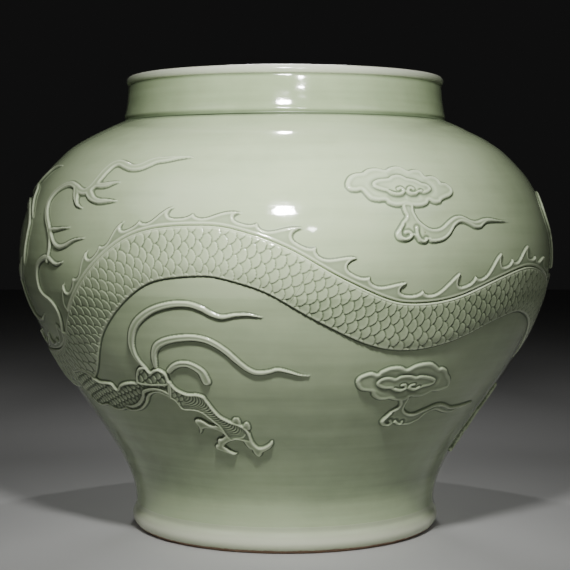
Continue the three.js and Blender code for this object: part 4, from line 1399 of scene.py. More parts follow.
FLAME_CURL = (
    (-57.5, -82, 0.8), (-56, -70.2, 1.8), (-54.6, -56.6, 2.3), (-54.9, -46.8, 2.5),
    (-56.7, -39.6, 2.6), (-59.5, -34.5, 2.6), (-60.8, -27.5, 2.6), (-60.6, -18.6, 2.6),
    (-59.7, -9.6, 2.6), (-58.2, -3, 2.6), (-56.1, 0.6, 2.5), (-54.1, 1.2, 2.4), (-52.9, -1, 2.2),
    (-51.7, -3.4, 1.9), (-50.3, -4.1, 1.4), (-48.5, -2, 0.3),
)
FLAME_STEM = (
    (-54.4, -2, 2), (-53.6, 8, 1.9), (-53.6, 15.2, 2.1), (-53.9, 21.5, 2.6), (-54.9, 28.7, 2.9),
    (-56.5, 36, 3), (-57.8, 44, 3), (-58.2, 51.7, 3), (-57.5, 58.9, 3), (-55.9, 64.9, 3),
    (-53.7, 68.9, 3), (-51.3, 69.9, 3), (-48.8, 66.7, 3), (-46.8, 63, 3.2), (-45.1, 61.8, 3.5),
    (-43.4, 66, 3.9), (-42.2, 75, 4.3), (-41.4, 83, 4.4), (-40.2, 90, 4.2), (-38.4, 92, 3.6),
    (-36.2, 88.8, 3.7), (-34.2, 86.2, 3.6), (-32, 87, 4), (-30.2, 91, 4.4), (-28.5, 94.3, 3.8),
    (-26, 95.5, 3.2), (-23.5, 97, 2), (-20.2, 98.1, 0.3),
)
# the plume over the haunch repeats the one over the shoulder, at another place
PLUME_FROM, PLUME_TO = (-57, 0), (76.5, -9)
FLAME_PRONGS = (
    (
        (-53.6, 24, 1.6), (-53, 20, 1.8), (-52.3, 16, 2), (-51.2, 12.7, 2.1), (-49.7, 11.1, 2.1),
        (-47.9, 12.6, 1.9), (-46.3, 15.5, 1.6), (-44.6, 18, 1.1), (-42, 19.7, 0.3),
    ),
    (
        (-54.6, 25.4, 1.8), (-52.8, 26.6, 1.8), (-51.3, 26.8, 1.6), (-49.5, 27.8, 1.2),
        (-47, 28.6, 0.3),
    ),
    ((-48.6, 64.5, 3.2), (-47.6, 58, 3.5), (-46.9, 53, 2.6), (-46, 49, 1.7), (-44.3, 46.3, 0.3)),
    (
        (-44, 62.5, 3.6), (-43, 58.5, 3.9), (-41.6, 54.6, 3), (-39.8, 52.7, 2.6),
        (-37.8, 52.8, 2.1), (-35.1, 53, 0.3),
    ),
    (
        (-42.6, 68.3, 2.5), (-40.5, 67.9, 2.7), (-38.8, 68.8, 2.6), (-37.4, 70.3, 1.5),
        (-36, 71.3, 0.3),
    ),
)
STREAMERS = (
    (
        (-31.9, -98, 2), (-32.9, -92, 2.5), (-33.5, -83, 2.9), (-33.2, -72, 3.4), (-31.8, -60, 3.5),
        (-29.5, -50, 3.3), (-26, -41, 2.9), (-22, -36, 2.7), (-18.5, -35.5, 2.6), (-16, -39, 2.5),
        (-14, -44, 2.3), (-12, -46.5, 2), (-9.5, -44.5, 1.6), (-7, -44, 1.2), (-4.3, -46.5, 0.3),
    ),
    (
        (-28.9, -97, 2), (-28.7, -91, 2.7), (-28.2, -83, 2.9), (-26.8, -75, 3.2), (-24, -69.5, 3.2),
        (-20, -66.5, 3.1), (-17, -67, 3), (-14.5, -71, 2.9), (-12, -79, 2.7), (-10, -88, 2.6),
        (-8, -96, 2.4), (-6, -100, 2.3), (-3.5, -99, 2), (-1.5, -96.5, 1.8), (1, -99, 1.4),
        (3, -102, 0.9), (5.2, -103.5, 0.3),
    ),
    (
        (-25.9, -101.4, 2.2), (-24.6, -96.8, 2.6), (-22.9, -93.4, 3), (-21, -92.8, 3.2),
        (-19.5, -95.4, 3.5), (-18.1, -100.6, 3.9), (-17.6, -107, 4.1), (-17.4, -110.4, 4),
    ),
)
MANE = {
    "mane_top": (
        (
            (-63.6, 92.6, 0.3), (-66.5, 91.4, 1.3), (-69, 88.6, 2), (-71.6, 82, 2.4),
            (-75.4, 73, 2.8), (-82, 67, 3.4), (-89, 60, 3.6), (-96, 51, 3.5), (-102, 44, 3),
            (-107.5, 40, 2),
        ),
        (
            (-65.2, 36.6, 0.3), (-67.5, 46.3, 1.5), (-70, 56.4, 2.1), (-71.6, 64.9, 2.3),
            (-75.2, 71, 2.4),
        ),
    ),
    "mane_middle": (
        (
            (-68.2, -8, 0.3), (-67.3, 3, 1.5), (-66.9, 12.9, 2), (-66.4, 24.2, 2.2),
            (-66.8, 33, 2.4), (-70, 44, 2.6), (-75, 52, 2.9), (-80.5, 54, 3.3), (-86.5, 48, 3.6),
            (-93, 38, 3.6), (-100, 32, 3.2), (-106.5, 29, 2.2),
        ),
    ),
    "mane_low": (
        (
            (-70.5, 0, 0.3), (-71.6, -8, 1.6), (-74.6, -17, 2.4), (-79.5, -21, 2.8),
            (-85, -14, 3.2), (-90, -2, 3.4), (-96, 8, 3.4), (-101, 13, 2.8), (-105.5, 15, 2),
        ),
        (
            (-78, -19, 1.6), (-78.4, -32, 2.1), (-77, -44, 2.3), (-74, -54, 2.3), (-70, -60, 2.1),
            (-66, -60, 1.7), (-63.2, -54, 0.3),
        ),
    ),
}
TAIL_LOCKS = (
    (
        (152, 12, 5.5), (152.6, 24, 5), (153.6, 33, 5), (157, 44, 5), (163, 52, 4), (171, 52, 2.6),
        (178, 46, 0.3),
    ),
    ((151.6, 17, 3), (148.5, 34, 4), (147, 50, 3.6), (150, 64, 2.8), (156, 72, 0.3)),
    ((153.5, 20, 3), (159, 25, 4), (166, 29, 3), (173, 24, 0.3)),
)
PEARL = (-154.0, 40.0)
PEARL_FLAMES = (
    ((-151.2, 53, 2.2), (-148.6, 60, 2.8), (-148.4, 68, 2.4), (-151, 75, 0.3)),
    ((-150.8, 27, 2), (-146.6, 22, 2.6), (-141.4, 24, 2), (-137.6, 30, 0.3)),
    ((-157.4, 28, 2), (-161, 22, 2.6), (-166, 22, 2), (-170.4, 28, 0.3)),
)


@dataclass
class Flames:
    """Shoulder and haunch flames, streamers of the elbows, mane and tail locks."""

    shop: Workshop
    moves: Dict[str, Move]

    def build(self) -> None:
        """Lays every strand."""
        strands, wall = Strands(self.shop), self.shop.wall
        plume = [FLAME_STEM, *FLAME_PRONGS]
        strands.lay("shoulder_curl_roll", "shoulder_curl", [FLAME_CURL])
        strands.lay("shoulder_flame_rolls", "shoulder_flame", plume)
        moved = [wall.carried(line, PLUME_FROM, PLUME_TO) for line in plume]
        strands.lay("haunch_flame_rolls", "haunch_flame", moved)
        for name, line in zip(("streamer_long", "streamer_waved", "streamer_short"), STREAMERS):
            strands.lay(f"{name}_roll", name, [line])
        others = (
            ("far_streamer_long", 0, "far_foreleg"), ("far_streamer_short", 2, "far_foreleg"),
            ("hind_streamer", 2, "near_hindleg"),
        )
        for name, number, leg in others:
            moved = wall.carried(STREAMERS[number], ROOT, **self.moves[leg])
            strands.lay(f"{name}_roll", name, [moved])
        for name, lines in MANE.items():
            strands.lay(f"{name}_lock", name, lines)
        strands.lay("tail_flame_locks", "tail_flame", TAIL_LOCKS)
        for number, line in enumerate(PEARL_FLAMES, 1):
            strands.lay(f"pearl_flame_{number}_roll", f"pearl_flame_{number}", [line])
        self.pearl()

    def pearl(self, radius: float = 12.0) -> None:
        """Flaming pearl: a low dome with a ring cut round its crown.

        Args:
            radius: the pearl's radius.
        """
        dome = roll(disc(radius, PEARL), 1)
        patch = Patch.round(self.shop.wall, [dome], self.shop.step * MEDIUM)
        groove = 0.35 * hump(patch.edge, radius * 0.42, 0.7)
        patch.proud = shoulder(patch.edge, 3.6, radius * 0.8) - groove + skirt(patch.edge)
        self.shop.dress(patch.piece("pearl_dome"), Slot.CLOUD, "pearl")


# ---- legs

ARM_TOP = (
    (-61, -114), (-58, -109), (-55.3, -107.6), (-52.3, -109.4), (-50.8, -113.4), (-50.3, -117.1),
    (-49.5, -119), (-47.8, -119.2), (-45.8, -118.9), (-44.6, -120.3), (-43.9, -125.8),
    (-42.3, -121.1), (-40.6, -118), (-38.7, -116), (-36.7, -115.1), (-36, -114.8), (-35.4, -109.2),
    (-34.4, -102.4), (-33.4, -98.9), (-32.3, -97.4), (-31.4, -97.9), (-30.7, -102.4),
    (-29.6, -99.9), (-28.6, -98.8), (-27.7, -99.7), (-26.8, -102.4), (-26.5, -106), (-26.5, -110.8),
    (-26.1, -114.3),
)
ARM_LOW = (
    (-61.2, -135), (-60.1, -141), (-59, -146.5), (-57.4, -150.1), (-55.4, -151.2), (-52.1, -148.9),
    (-50.7, -151.2), (-48.8, -153), (-46.4, -152.1), (-44.5, -149.7), (-43.4, -151.2),
    (-41.5, -151.1), (-39.3, -149.1), (-37.2, -144.7), (-35.4, -138.7), (-34.3, -133.1),
    (-33.2, -128.9), (-31.8, -126.3), (-30.5, -125.5), (-29.5, -126.6), (-28.3, -128.9),
    (-27.5, -131.6),
)
# cord across the elbow, the inner rim of the arm
ELBOW_CORD = (
    (-43.7, -144.8, 0.5), (-42.2, -145, 1.3), (-40.6, -144, 1.5), (-38.7, -140.9, 1.5),
    (-37.1, -136.5, 1.5), (-35.8, -131.3, 1.5), (-34.9, -125.7, 1.6), (-33, -122.3, 1.6),
    (-31.5, -121.1, 1.6), (-30.1, -121.4, 1.6), (-29.1, -122.6, 1.5), (-28, -125.1, 1.4),
    (-27.1, -127.2, 1.2),
)
# the elbow's two lobes, which end in the upper edge of the arm
LOBES = (*ARM_TOP[15:28], (-27.3, -116), (-29.8, -117), (-32, -117.6), (-34.4, -117))
FORE_TOP = (
    (-27, -112.6), (-26.1, -114.3), (-25.5, -118.3), (-24.7, -121.2), (-23.6, -123.4),
    (-22.4, -124.5), (-20.8, -124), (-19.7, -124.9), (-18.8, -126.6), (-18.5, -129.8),
    (-18, -134.3), (-17.5, -138.9), (-17, -142.7), (-16.4, -146.4), (-15.7, -149.4),
    (-14.6, -152.1), (-13.5, -154.4), (-12.2, -156.1), (-11, -158.2), (-10.2, -160.5),
    (-9.6, -163.7), (-9.1, -167.9), (-8.9, -173.1), (-8.9, -178.3),
)
FORE_LOW = (
    (-28.3, -129.3), (-27.5, -131.6), (-26.9, -134.2), (-26.5, -138.3), (-26.2, -141.5),
    (-25.6, -143.6), (-24.5, -144.2), (-23.1, -144.1), (-22.1, -144.3), (-21.1, -145.5),
    (-20.2, -148), (-19.4, -151.7), (-18.7, -154.2), (-18.1, -157.1), (-17.2, -160.2),
    (-16.6, -165), (-16, -171), (-14.6, -177.2), (-13.1, -176.3), (-11.7, -176.6),
)
CLAWS = (
    (
        (-11.9, -175.5), (-11.2, -177.6), (-10.6, -182.7), (-9.9, -186.1), (-9.1, -187.5),
        (-8.8, -191.2), (-8.1, -194.5), (-7.3, -195.6), (-6.7, -194.2), (-6.2, -190.5),
        (-5.1, -188.1), (-4, -185.2), (-3.3, -180.9), (-3.3, -176.8), (-3.7, -177.3),
        (-4.3, -179.8), (-5.3, -182.5), (-6.3, -184.2), (-7.2, -184.2), (-7.9, -181.9),
        (-8.5, -178.3), (-9.4, -172),
    ),
    (
        (-15.4, -163.5), (-17.4, -159.1), (-18.5, -159.7), (-19.6, -158.4), (-20.5, -155.8),
        (-21.4, -153.9), (-22.5, -153.5), (-23.3, -155.8), (-23.2, -158.9), (-22.8, -162.3),
        (-22.8, -166.8), (-23.1, -171.4), (-22.3, -168.5), (-21.7, -165.1), (-20.5, -163.8),
        (-19.1, -164.2), (-17.8, -165.4), (-16.8, -167.7), (-15.6, -171.3),
    ),
    (
        (-15, -168), (-16, -171.2), (-16.9, -174.6), (-17.9, -175.7), (-18.5, -178.8),
        (-18.6, -181.8), (-19.4, -184.3), (-19.6, -187.2), (-18.8, -189.3), (-17.4, -191),
        (-16, -193.1), (-14.9, -194.4), (-13.6, -193), (-14.4, -191.6), (-15.5, -189.4),
        (-16.3, -186.3), (-16.8, -183.3), (-15.8, -180.2), (-14.6, -177.7), (-12.6, -174),
    ),
)
SPURS = (
    ((-13.1, -155.2), (-12.9, -151.6), (-12.1, -150), (-11.4, -151.2), (-11.2, -157.6)),
    ((-10.6, -160.7), (-10.2, -156.6), (-9.6, -155.2), (-9, -157), (-9, -163.9)),
)
PAD = (
    (-16.6, -170, 0.5), (-15, -173, 0.9), (-13.2, -173.8, 0.9), (-11.2, -172.6, 0.8),
    (-10.4, -169, 0.4),
)
ROOT = (-61.0, -121.0)
# lines of the near foreleg along which its patterns run
ARM_SLANT = ((-58, -108), (-54, -148))
ELBOW_LINE = ((-58, -120), (-38, -147))
FOREARM_LINE = ((-27, -120), (-20, -136))
PALM_LINE = ((-20, -136), (-12, -168))
FINE_SCALES = Scales(8.2, 4.3, 4.9, lift=0.55, groove=1.0, line=1.0, stray=0.3)
ELBOW_SCALES = Scales(8.4, 5.6, 5.2, lift=1.1, groove=0.6, line=0.6, stray=0.2)
FOREARM_SCALES = Scales(6.4, 4.2, 4.2, lift=0.8, groove=0.4, line=0.5, stray=0.15)


@dataclass
class Leg:
    """One leg: a scaled upper arm with lobed rims, a ribbed forearm, a palm and three claws."""

    shop: Workshop
    spine: Course
    name: str
    move: Move
    height: float = 2.6
    over: float = 0.95
    sunk: float = 1.25
    rib: float = 2.7

    @property
    def size(self) -> float:
        """How many times larger the leg is than the near foreleg."""
        return float(self.move.get("size", 1.0))

    def placed(self, points: Points) -> List[Spot]:
        """Motif points carried to this leg's place."""
        return self.shop.wall.carried(points, ROOT, **self.move)

    def upper_plate(self) -> Plate:
        """Outline of the upper arm."""
        return band(self.placed(ARM_TOP), self.placed(ARM_LOW))

    def over_body(self, patch: Patch) -> Array:
        """From 0 to 1, how far the leg lies over the dragon's body."""
        body = np.stack([self.spine.azimuth, self.spine.rise, self.spine.half], -1)[::6]
        return smooth(-3.5, 0.5, patch.inside(Roll(body)))

    def build(self) -> None:
        """Lays the upper and the lower leg."""
        step = self.shop.step * FINE
        patch = Patch.round(self.shop.wall, [self.upper_plate()], step)
        self.finish(patch, *self.upper(patch), 0.4, "upper_arm", "upper")
        fore = band(self.placed(FORE_TOP), self.placed(FORE_LOW))
        toes = [plate(self.placed(outline)) for outline in (*CLAWS, *SPURS)]
        patch = Patch.round(self.shop.wall, [fore, *toes], step, melt=0.7)
        self.finish(patch, *self.lower(patch, fore), 0.35, "forearm", "lower")

    def finish(
        self, patch: Patch, top: Array, lines: Array, deep: float, part: str, node: str
    ) -> None:
        """Closes one part of the leg.

        Args:
            patch: the grid, with its inside distance.
            top: heights in millimetres.
            lines: mask of the impressed lines.
            deep: how much the glaze depth rises in the lines, partly pooled glaze and partly
                painted shade between the scales.
            part: what the piece is called after the leg's name.
            node: what its CAD node is called after that name.
        """
        patch.proud = top + skirt(patch.edge)
        # the 0.06 darkens the whole leg as painted shade; the lines add pooled glaze and painted
        # shade between the scales
        pool = patch.pooled(2.4, more=0.06 + deep * softened(lines, 0.5))
        piece = patch.piece(f"{self.name}_{part}", pool)
        self.shop.dress(piece, Slot.DRAGON, f"{self.name}_{node}")

    def framed(self, patch: Patch, line: Points) -> Tuple[Array, Array]:
        """Millimetres along and across a line of the motif, at the near foreleg's size.

        Args:
            patch: the grid.
            line: start and end of the line, on the near foreleg.

        Returns:
            Distances along the line and across it, positive to its left.
        """
        first, last = self.placed(line)
        scale = float(patch.scale.mean())
        east, north = (last[0] - first[0]) * scale, last[1] - first[1]
        length = math.hypot(east, north)
        x, y = (patch.azimuth - first[0]) * scale, patch.rise - first[1]
        flip = -1.0 if self.move.get("flip") else 1.0
        along, across = (x * east + y * north) / length, flip * (y * east - x * north) / length
        return along / self.size, across / self.size

    def upper(self, patch: Patch) -> Tuple[Array, Array]:
        """Upper arm: slanting scales sunk between lobed rims, coarser ones in the elbow's lobes.

        Args:
            patch: the grid, with its inside distance.

        Returns:
            Heights in millimetres, and the mask of the impressed lines.
        """
        size, edge = self.size, patch.edge
        slant, aside = self.framed(patch, ARM_SLANT)
        fine, fine_lines = FINE_SCALES.height(slant * 0.6, aside * 1.35)
        coarse, coarse_lines = ELBOW_SCALES.height(*self.framed(patch, ELBOW_LINE))
        root = patch.inside(roll(self.placed(((-63, -126, 22), (-58, -128, 14))), 1))
        inside = np.maximum(edge, np.where(root > 0, edge + root * 0.5, OUT))
        elbow = patch.inside(plate(self.placed(LOBES)))
        lobes = smooth(1.7, 2.6, elbow)
        rim = patch.inside(roll(self.placed(ELBOW_CORD)))
        within = smooth(1.9 * size, 2.9 * size, inside) * smooth(0.0, 1.2, edge)
        within = within * (1.0 - smooth(-0.5, 0.5, rim))
        within = within * np.maximum(lobes, 1.0 - smooth(-0.6, 0.6, elbow))
        pattern = softened(fine + (coarse - fine) * lobes, 0.5)
        lines = fine_lines + (coarse_lines - fine_lines) * lobes
        level = self.height + self.over * self.over_body(patch)
        top = shoulder(edge, 1.0, 1.4) * level - (self.sunk - pattern) * within
        return top, (0.25 + lines) * within

    def lower(self, patch: Patch, fore: Plate) -> Tuple[Array, Array]:
        """Forearm: scales by the elbow, then crescent ribs down to the palm, between two cords.

        Args:
            patch: the grid, with its inside distance.
            fore: outline of the forearm and palm.

        Returns:
            Heights in millimetres, and the mask of the impressed lines.
        """
        near, near_across = self.framed(patch, FOREARM_LINE)
        far, far_across = self.framed(patch, PALM_LINE)
        bend = smooth(-3.0, 3.0, far)
        phase = (near + 0.07 * near_across**2) * (1.0 - bend)
        phase = phase + (31.0 + far + 0.1 * far_across**2) * bend
        ribs = np.sin(2 * math.pi * phase / self.rib)
        scaled, lines = FOREARM_SCALES.height(near, near_across)
        share = smooth(13.0, 18.0, near)
        pattern = softened(scaled, 0.5) * (1.0 - share) + (0.3 + 0.3 * ribs) * share
        palm = smooth(38.0, 45.0, far)
        within = smooth(1.7 * self.size, 2.6 * self.size, patch.inside(fore))
        top = shoulder(patch.edge, self.height - 0.1, 1.5)
        top = top - (0.95 - pattern) * within * (1.0 - palm) - 0.6 * within * palm
        top = top + 0.45 * smooth(-0.5, 0.4, patch.inside(roll(self.placed(PAD)))) * palm
        for spur in SPURS:
            lowered = 0.9 * smooth(-0.6, 0.6, patch.inside(plate(self.placed(spur))))
            top = top - lowered * smooth(0.3, 1.2, patch.edge)
        lines = lines * (1.0 - share) + smooth(0.2, 1.0, -ribs) * 0.7 * share
        return top, lines * within * (1.0 - palm)


# ---- head

EYE = (-119.0, 36.0)
HEAD_SIZE = 1.3
HEAD_TOP = 4.05
FANGS = (
    ((41, -8, 1.7), (42.4, -4.6, 1.2), (43, -2.4, 0.3)),
    ((22, -13.6, 1.5), (23, -10, 1.1), (23.4, -7.6, 0.3)),
)
FACE_TOP = (
    (-28, 3), (-24, 12), (-15, 16), (-5, 18), (4, 16), (12, 11), (22, 8.5), (32, 10), (40, 15),
    (48, 15.5), (54, 11), (57, 6),
)
FACE_LOW = (
    (-29, -4), (-26, -14), (-18, -20), (-9, -21), (-1, -17), (6, -12), (14, -7), (23, -4),
    (32, -1.5), (41, 0), (49, 0.5), (55, 2),
)
JAW_TOP = ((-6, -23.5), (4, -19), (14, -15), (24, -12), (34, -9.5), (43, -7), (49, -3))
JAW_LOW = ((-9, -30), (2, -30), (14, -26), (25, -22.5), (35, -19), (45, -14.5), (51, -7))
HEAD_STRANDS = {
    "horn_long": (
        (
            (-6, 21, 2.8), (-18, 28, 3.4), (-32, 33, 3.2), (-46, 36, 2.6), (-58, 42, 1.8),
            (-68, 51, 0.3),
        ),
        ((-33, 34, 2.2), (-38, 42, 2.2), (-46, 49, 1.8), (-54, 52, 0.3)),
    ),
    "horn_short": (((4, 19, 2.4), (0, 28, 2.8), (-6, 38, 2.6), (-16, 46, 2), (-27, 50, 0.3)),),
    "dragon_ear": (((-29, 13, 2), (-36, 19, 3.4), (-45, 22, 3), (-54, 21, 0.4)),),
    "whisker": (
        ((56, 15, 1.3), (61, 21, 1.6), (62, 29, 1.6), (56, 35, 1.5), (48, 34, 1.2), (45, 28, 0.3)),
    ),
    "beard": (((4, -33, 2.6), (10, -42, 3.2), (8, -54, 2.8), (-2, -63, 2), (-14, -66, 0.4)),),
    "beard_tip": (((26, -25, 2), (31, -35, 2.6), (27, -46, 2.2), (17, -55, 0.4)),),
}
FACE_CORDS = (
    ((-17, 9, 1.4), (-10, 12.6, 2.2), (-1, 13.2, 2.6), (8, 9.6, 2.2), (14, 5.4, 1.2)),
    (
        (12, 7, 1.2), (22, 5.6, 1.6), (33, 7.4, 1.7), (41, 11.6, 1.8), (47.6, 11.8, 1.7),
        (50.4, 8.6, 1.5), (47.6, 6.2, 1.3), (45, 8, 0.8),
    ),
    ((8, -8.4, 1), (18, -3.2, 1.4), (30, 0.4, 1.5), (42, 2.6, 1.5), (51, 3.6, 1.3)),
    ((-12, -17, 1.2), (-8, -9, 1.7), (-9, -1, 1.6), (-14, 4, 0.8)),
    ((-21, -15, 1.2), (-16.5, -7, 1.7), (-17.5, 2, 1.6), (-22, 7, 0.8)),
)


@dataclass
class Head:
    """Head turned away from the tail: face, jaw, eye, horns, ear, whisker and beard."""

    shop: Workshop
    rounded: float = 1.8
    eye: float = 4.0
    crown: float = 4.6
    socket: float = 7.0

    def placed(self, points: Points) -> List[Spot]:
        """Carries head points to their place on the wall.

        Args:
            points: [forward, up, half width] from the eye, at the size they are drawn in.

        Returns:
            The places.
        """
        degree = float(self.shop.wall.degree(EYE[1]))
        moved = []
        for forward, up, *half in points:
            place = (EYE[0] - forward * HEAD_SIZE / degree, EYE[1] + up * HEAD_SIZE)
            moved.append((*place, (half[0] if half else 0.0) * HEAD_SIZE))
        return moved

    def build(self) -> None:
        """Lays the head's pieces."""
        self.face()
        self.jaw()
        strands = Strands(self.shop)
        for name, lines in HEAD_STRANDS.items():
            slot = Slot.DRAGON if name == "dragon_ear" else Slot.CREST
            strands.lay(f"{name}_roll", name, [self.placed(line) for line in lines], slot)
        ball = roll(self.placed(disc(self.eye)), 1)
        patch = Patch.round(self.shop.wall, [ball], self.shop.step * FINEST)
        pupil = 0.5 * hump(patch.edge, self.crown, 0.9)
        patch.proud = 2.6 + shoulder(patch.edge, 2.2, self.crown) - pupil
        self.shop.dress(patch.piece("dragon_eye_ball"), Slot.CREST, "dragon_eye")

    def lay(self, part: str, patch: Patch) -> None:
        """Closes the face or the jaw and gives it its finish."""
        pool = patch.pooled(2.2)
        self.shop.dress(patch.piece(f"dragon_{part}_plate", pool), Slot.DRAGON, f"dragon_{part}")

    def face(self) -> None:
        """Face plate with brow, nose, lip and gill cords round a sunk eye socket."""
        outline = band(self.placed(FACE_TOP), self.placed(FACE_LOW))
        patch = Patch.round(self.shop.wall, [outline], self.shop.step * MEDIUM)
        low = 3.3 - 0.5 * smooth(2.0, 4.0, patch.edge) + 0.45 * smooth(6.0, 14.0, patch.edge)
        socket = patch.inside(roll(self.placed(disc(self.socket)), 1))
        top = shoulder(patch.edge, 1.0, self.rounded) * low - 0.9 * smooth(-0.5, 2.0, socket)
        for line in FACE_CORDS:
            top = top + shoulder(patch.inside(roll(self.placed(line))), 0.8, self.rounded)
        patch.proud = np.minimum(top, HEAD_TOP) + skirt(patch.edge)
        self.lay("face", patch)

    def jaw(self) -> None:
        """Lower jaw with a lip cord and two fangs."""
        outline = band(self.placed(JAW_TOP), self.placed(JAW_LOW))
        fangs = [roll(self.placed(line)) for line in FANGS]
        patch = Patch.round(self.shop.wall, [outline, *fangs], self.shop.step * MEDIUM, melt=0.8)
        lip = cord(patch.edge - self.rounded, 0.5, 1.5)
        patch.proud = shoulder(patch.edge, 2.6, self.rounded) + lip + skirt(patch.edge)
        self.lay("jaw", patch)


# ---- clouds


@dataclass(frozen=True)
class CloudMotif:
    """Drawing of a cloud: lobed cap, heart with two volutes, and a waved stem with its curls."""

    anchor: Place
    cap: Points
    heart: Points
    volutes: Sequence[Points]
    stem: Points
    curls: Sequence[Points]


HIGH_CLOUD = CloudMotif(
    anchor=(23.3, 67),
    cap=(
        (11.9, 68.7), (12.4, 73.6), (13.2, 77.2), (14.3, 79.2), (15.8, 80), (16.4, 82),
        (17.4, 84.2), (19, 85), (21, 83.2), (22, 85.5), (23.3, 87.2), (24.4, 87), (25.2, 85.1),
        (26.2, 82.4), (27.3, 83.6), (28.5, 83.6), (29.3, 81.5), (29.8, 76.9), (31.1, 77.3),
        (32.3, 76.3), (33, 73.3), (33.2, 71), (33.4, 70.6), (34.4, 70), (35.1, 67.8), (35.6, 64.8),
        (35.6, 61.5), (35.1, 58.6), (34.2, 56.4), (33, 54.8), (32.1, 53), (31.5, 50.7),
        (30.2, 50.3), (29, 52.2), (28.5, 49.7), (27.3, 47.7), (25.9, 47.2), (24.6, 47.8),
        (23.7, 49), (22.5, 47.8), (21.2, 47.9), (20, 49.8), (19.4, 52.3), (18.1, 52), (16.9, 52.9),
        (16.3, 54.2), (15.6, 57.9), (14.9, 61.8), (13.9, 61.1), (12.7, 61.7), (12, 64.8),
    ),
    heart=(
        (17.3, 68.3), (17.8, 71.2), (19, 73.1), (21, 74.2), (21.8, 76.4), (23, 77.7), (24.1, 77),
        (25.2, 74.4), (26.4, 73.5), (27.4, 72), (28.3, 69.7), (29.3, 68.8), (30, 66.2),
        (30.2, 63.3), (29.2, 60.2), (28, 59.1), (27, 60.2), (26.3, 57.5), (25.1, 57.2),
        (24.4, 58.6), (24, 60), (23.3, 57.3), (22, 56.6), (20.8, 57.8), (20.1, 60.6), (19.1, 61.9),
        (18.1, 63.5), (17.5, 65.4),
    ),
    volutes=(
        (
            (20.7, 60.2), (21.7, 58.8), (22.7, 58.8), (23.5, 60.5), (23.6, 62.9), (23.2, 64.3),
            (22.6, 63.5),
        ),
        (
            (27.6, 61.6), (26.3, 59.4), (25.3, 59.3), (24.7, 60.9), (24.8, 63.2), (25.4, 64.7),
            (25.9, 63.6),
        ),
    ),
    stem=(
        (22.8, 50.5), (22.9, 43.1), (23.2, 39.5), (22.9, 36.9), (22.3, 34.3), (21.9, 31.8),
        (21.3, 28.4), (20.8, 25), (20.8, 21.6), (21.3, 18.8), (22.3, 17.6), (23.3, 18.2),
        (24.1, 20.2), (24.5, 21.9), (25, 19.8), (25.4, 17.2), (26.3, 15.7), (27, 16), (27.5, 18.3),
        (28, 16.7), (29.2, 16.5), (30.3, 17.3), (31.2, 18.6), (32, 20.7), (32.8, 23.7),
        (33.4, 26.7), (34, 29.7), (34.9, 32.3), (35.7, 33.3), (36.4, 33.1), (37.4, 31.7),
        (38.4, 29.7), (39.1, 28.4), (40, 28), (40.9, 28.5), (41.5, 30.2), (42.4, 32.3),
        (43.5, 33.3), (45.4, 33.5), (47.7, 33.5), (50.3, 33.7), (47.8, 34.9), (45.9, 36),
        (44.4, 37.1), (42.9, 37.3), (41.6, 36.5), (40.6, 35.3), (39.5, 34.8), (38.4, 35.7),
        (37.5, 37.5), (36.3, 39.3), (35.3, 39.6), (34.2, 38.6), (33.1, 36.3), (31.9, 32.8),
        (30.9, 29.8), (29.9, 28.3), (28.7, 28.1), (27.7, 29.5), (26.7, 32.5), (25.9, 36),
        (25.4, 39.9), (25.1, 43.9), (25.1, 50.5),
    ),
    curls=(
        (
            (22.3, 31.4), (21.7, 27), (21.6, 23), (22, 20.4), (22.8, 19.6), (23.6, 21),
            (23.9, 23.6), (23.4, 25.6), (22.8, 25.4),
        ),
        ((25.2, 29.1), (25.2, 24), (25.6, 19.8), (26.2, 17.8), (26.7, 18), (27, 19.6)),
    ),
)
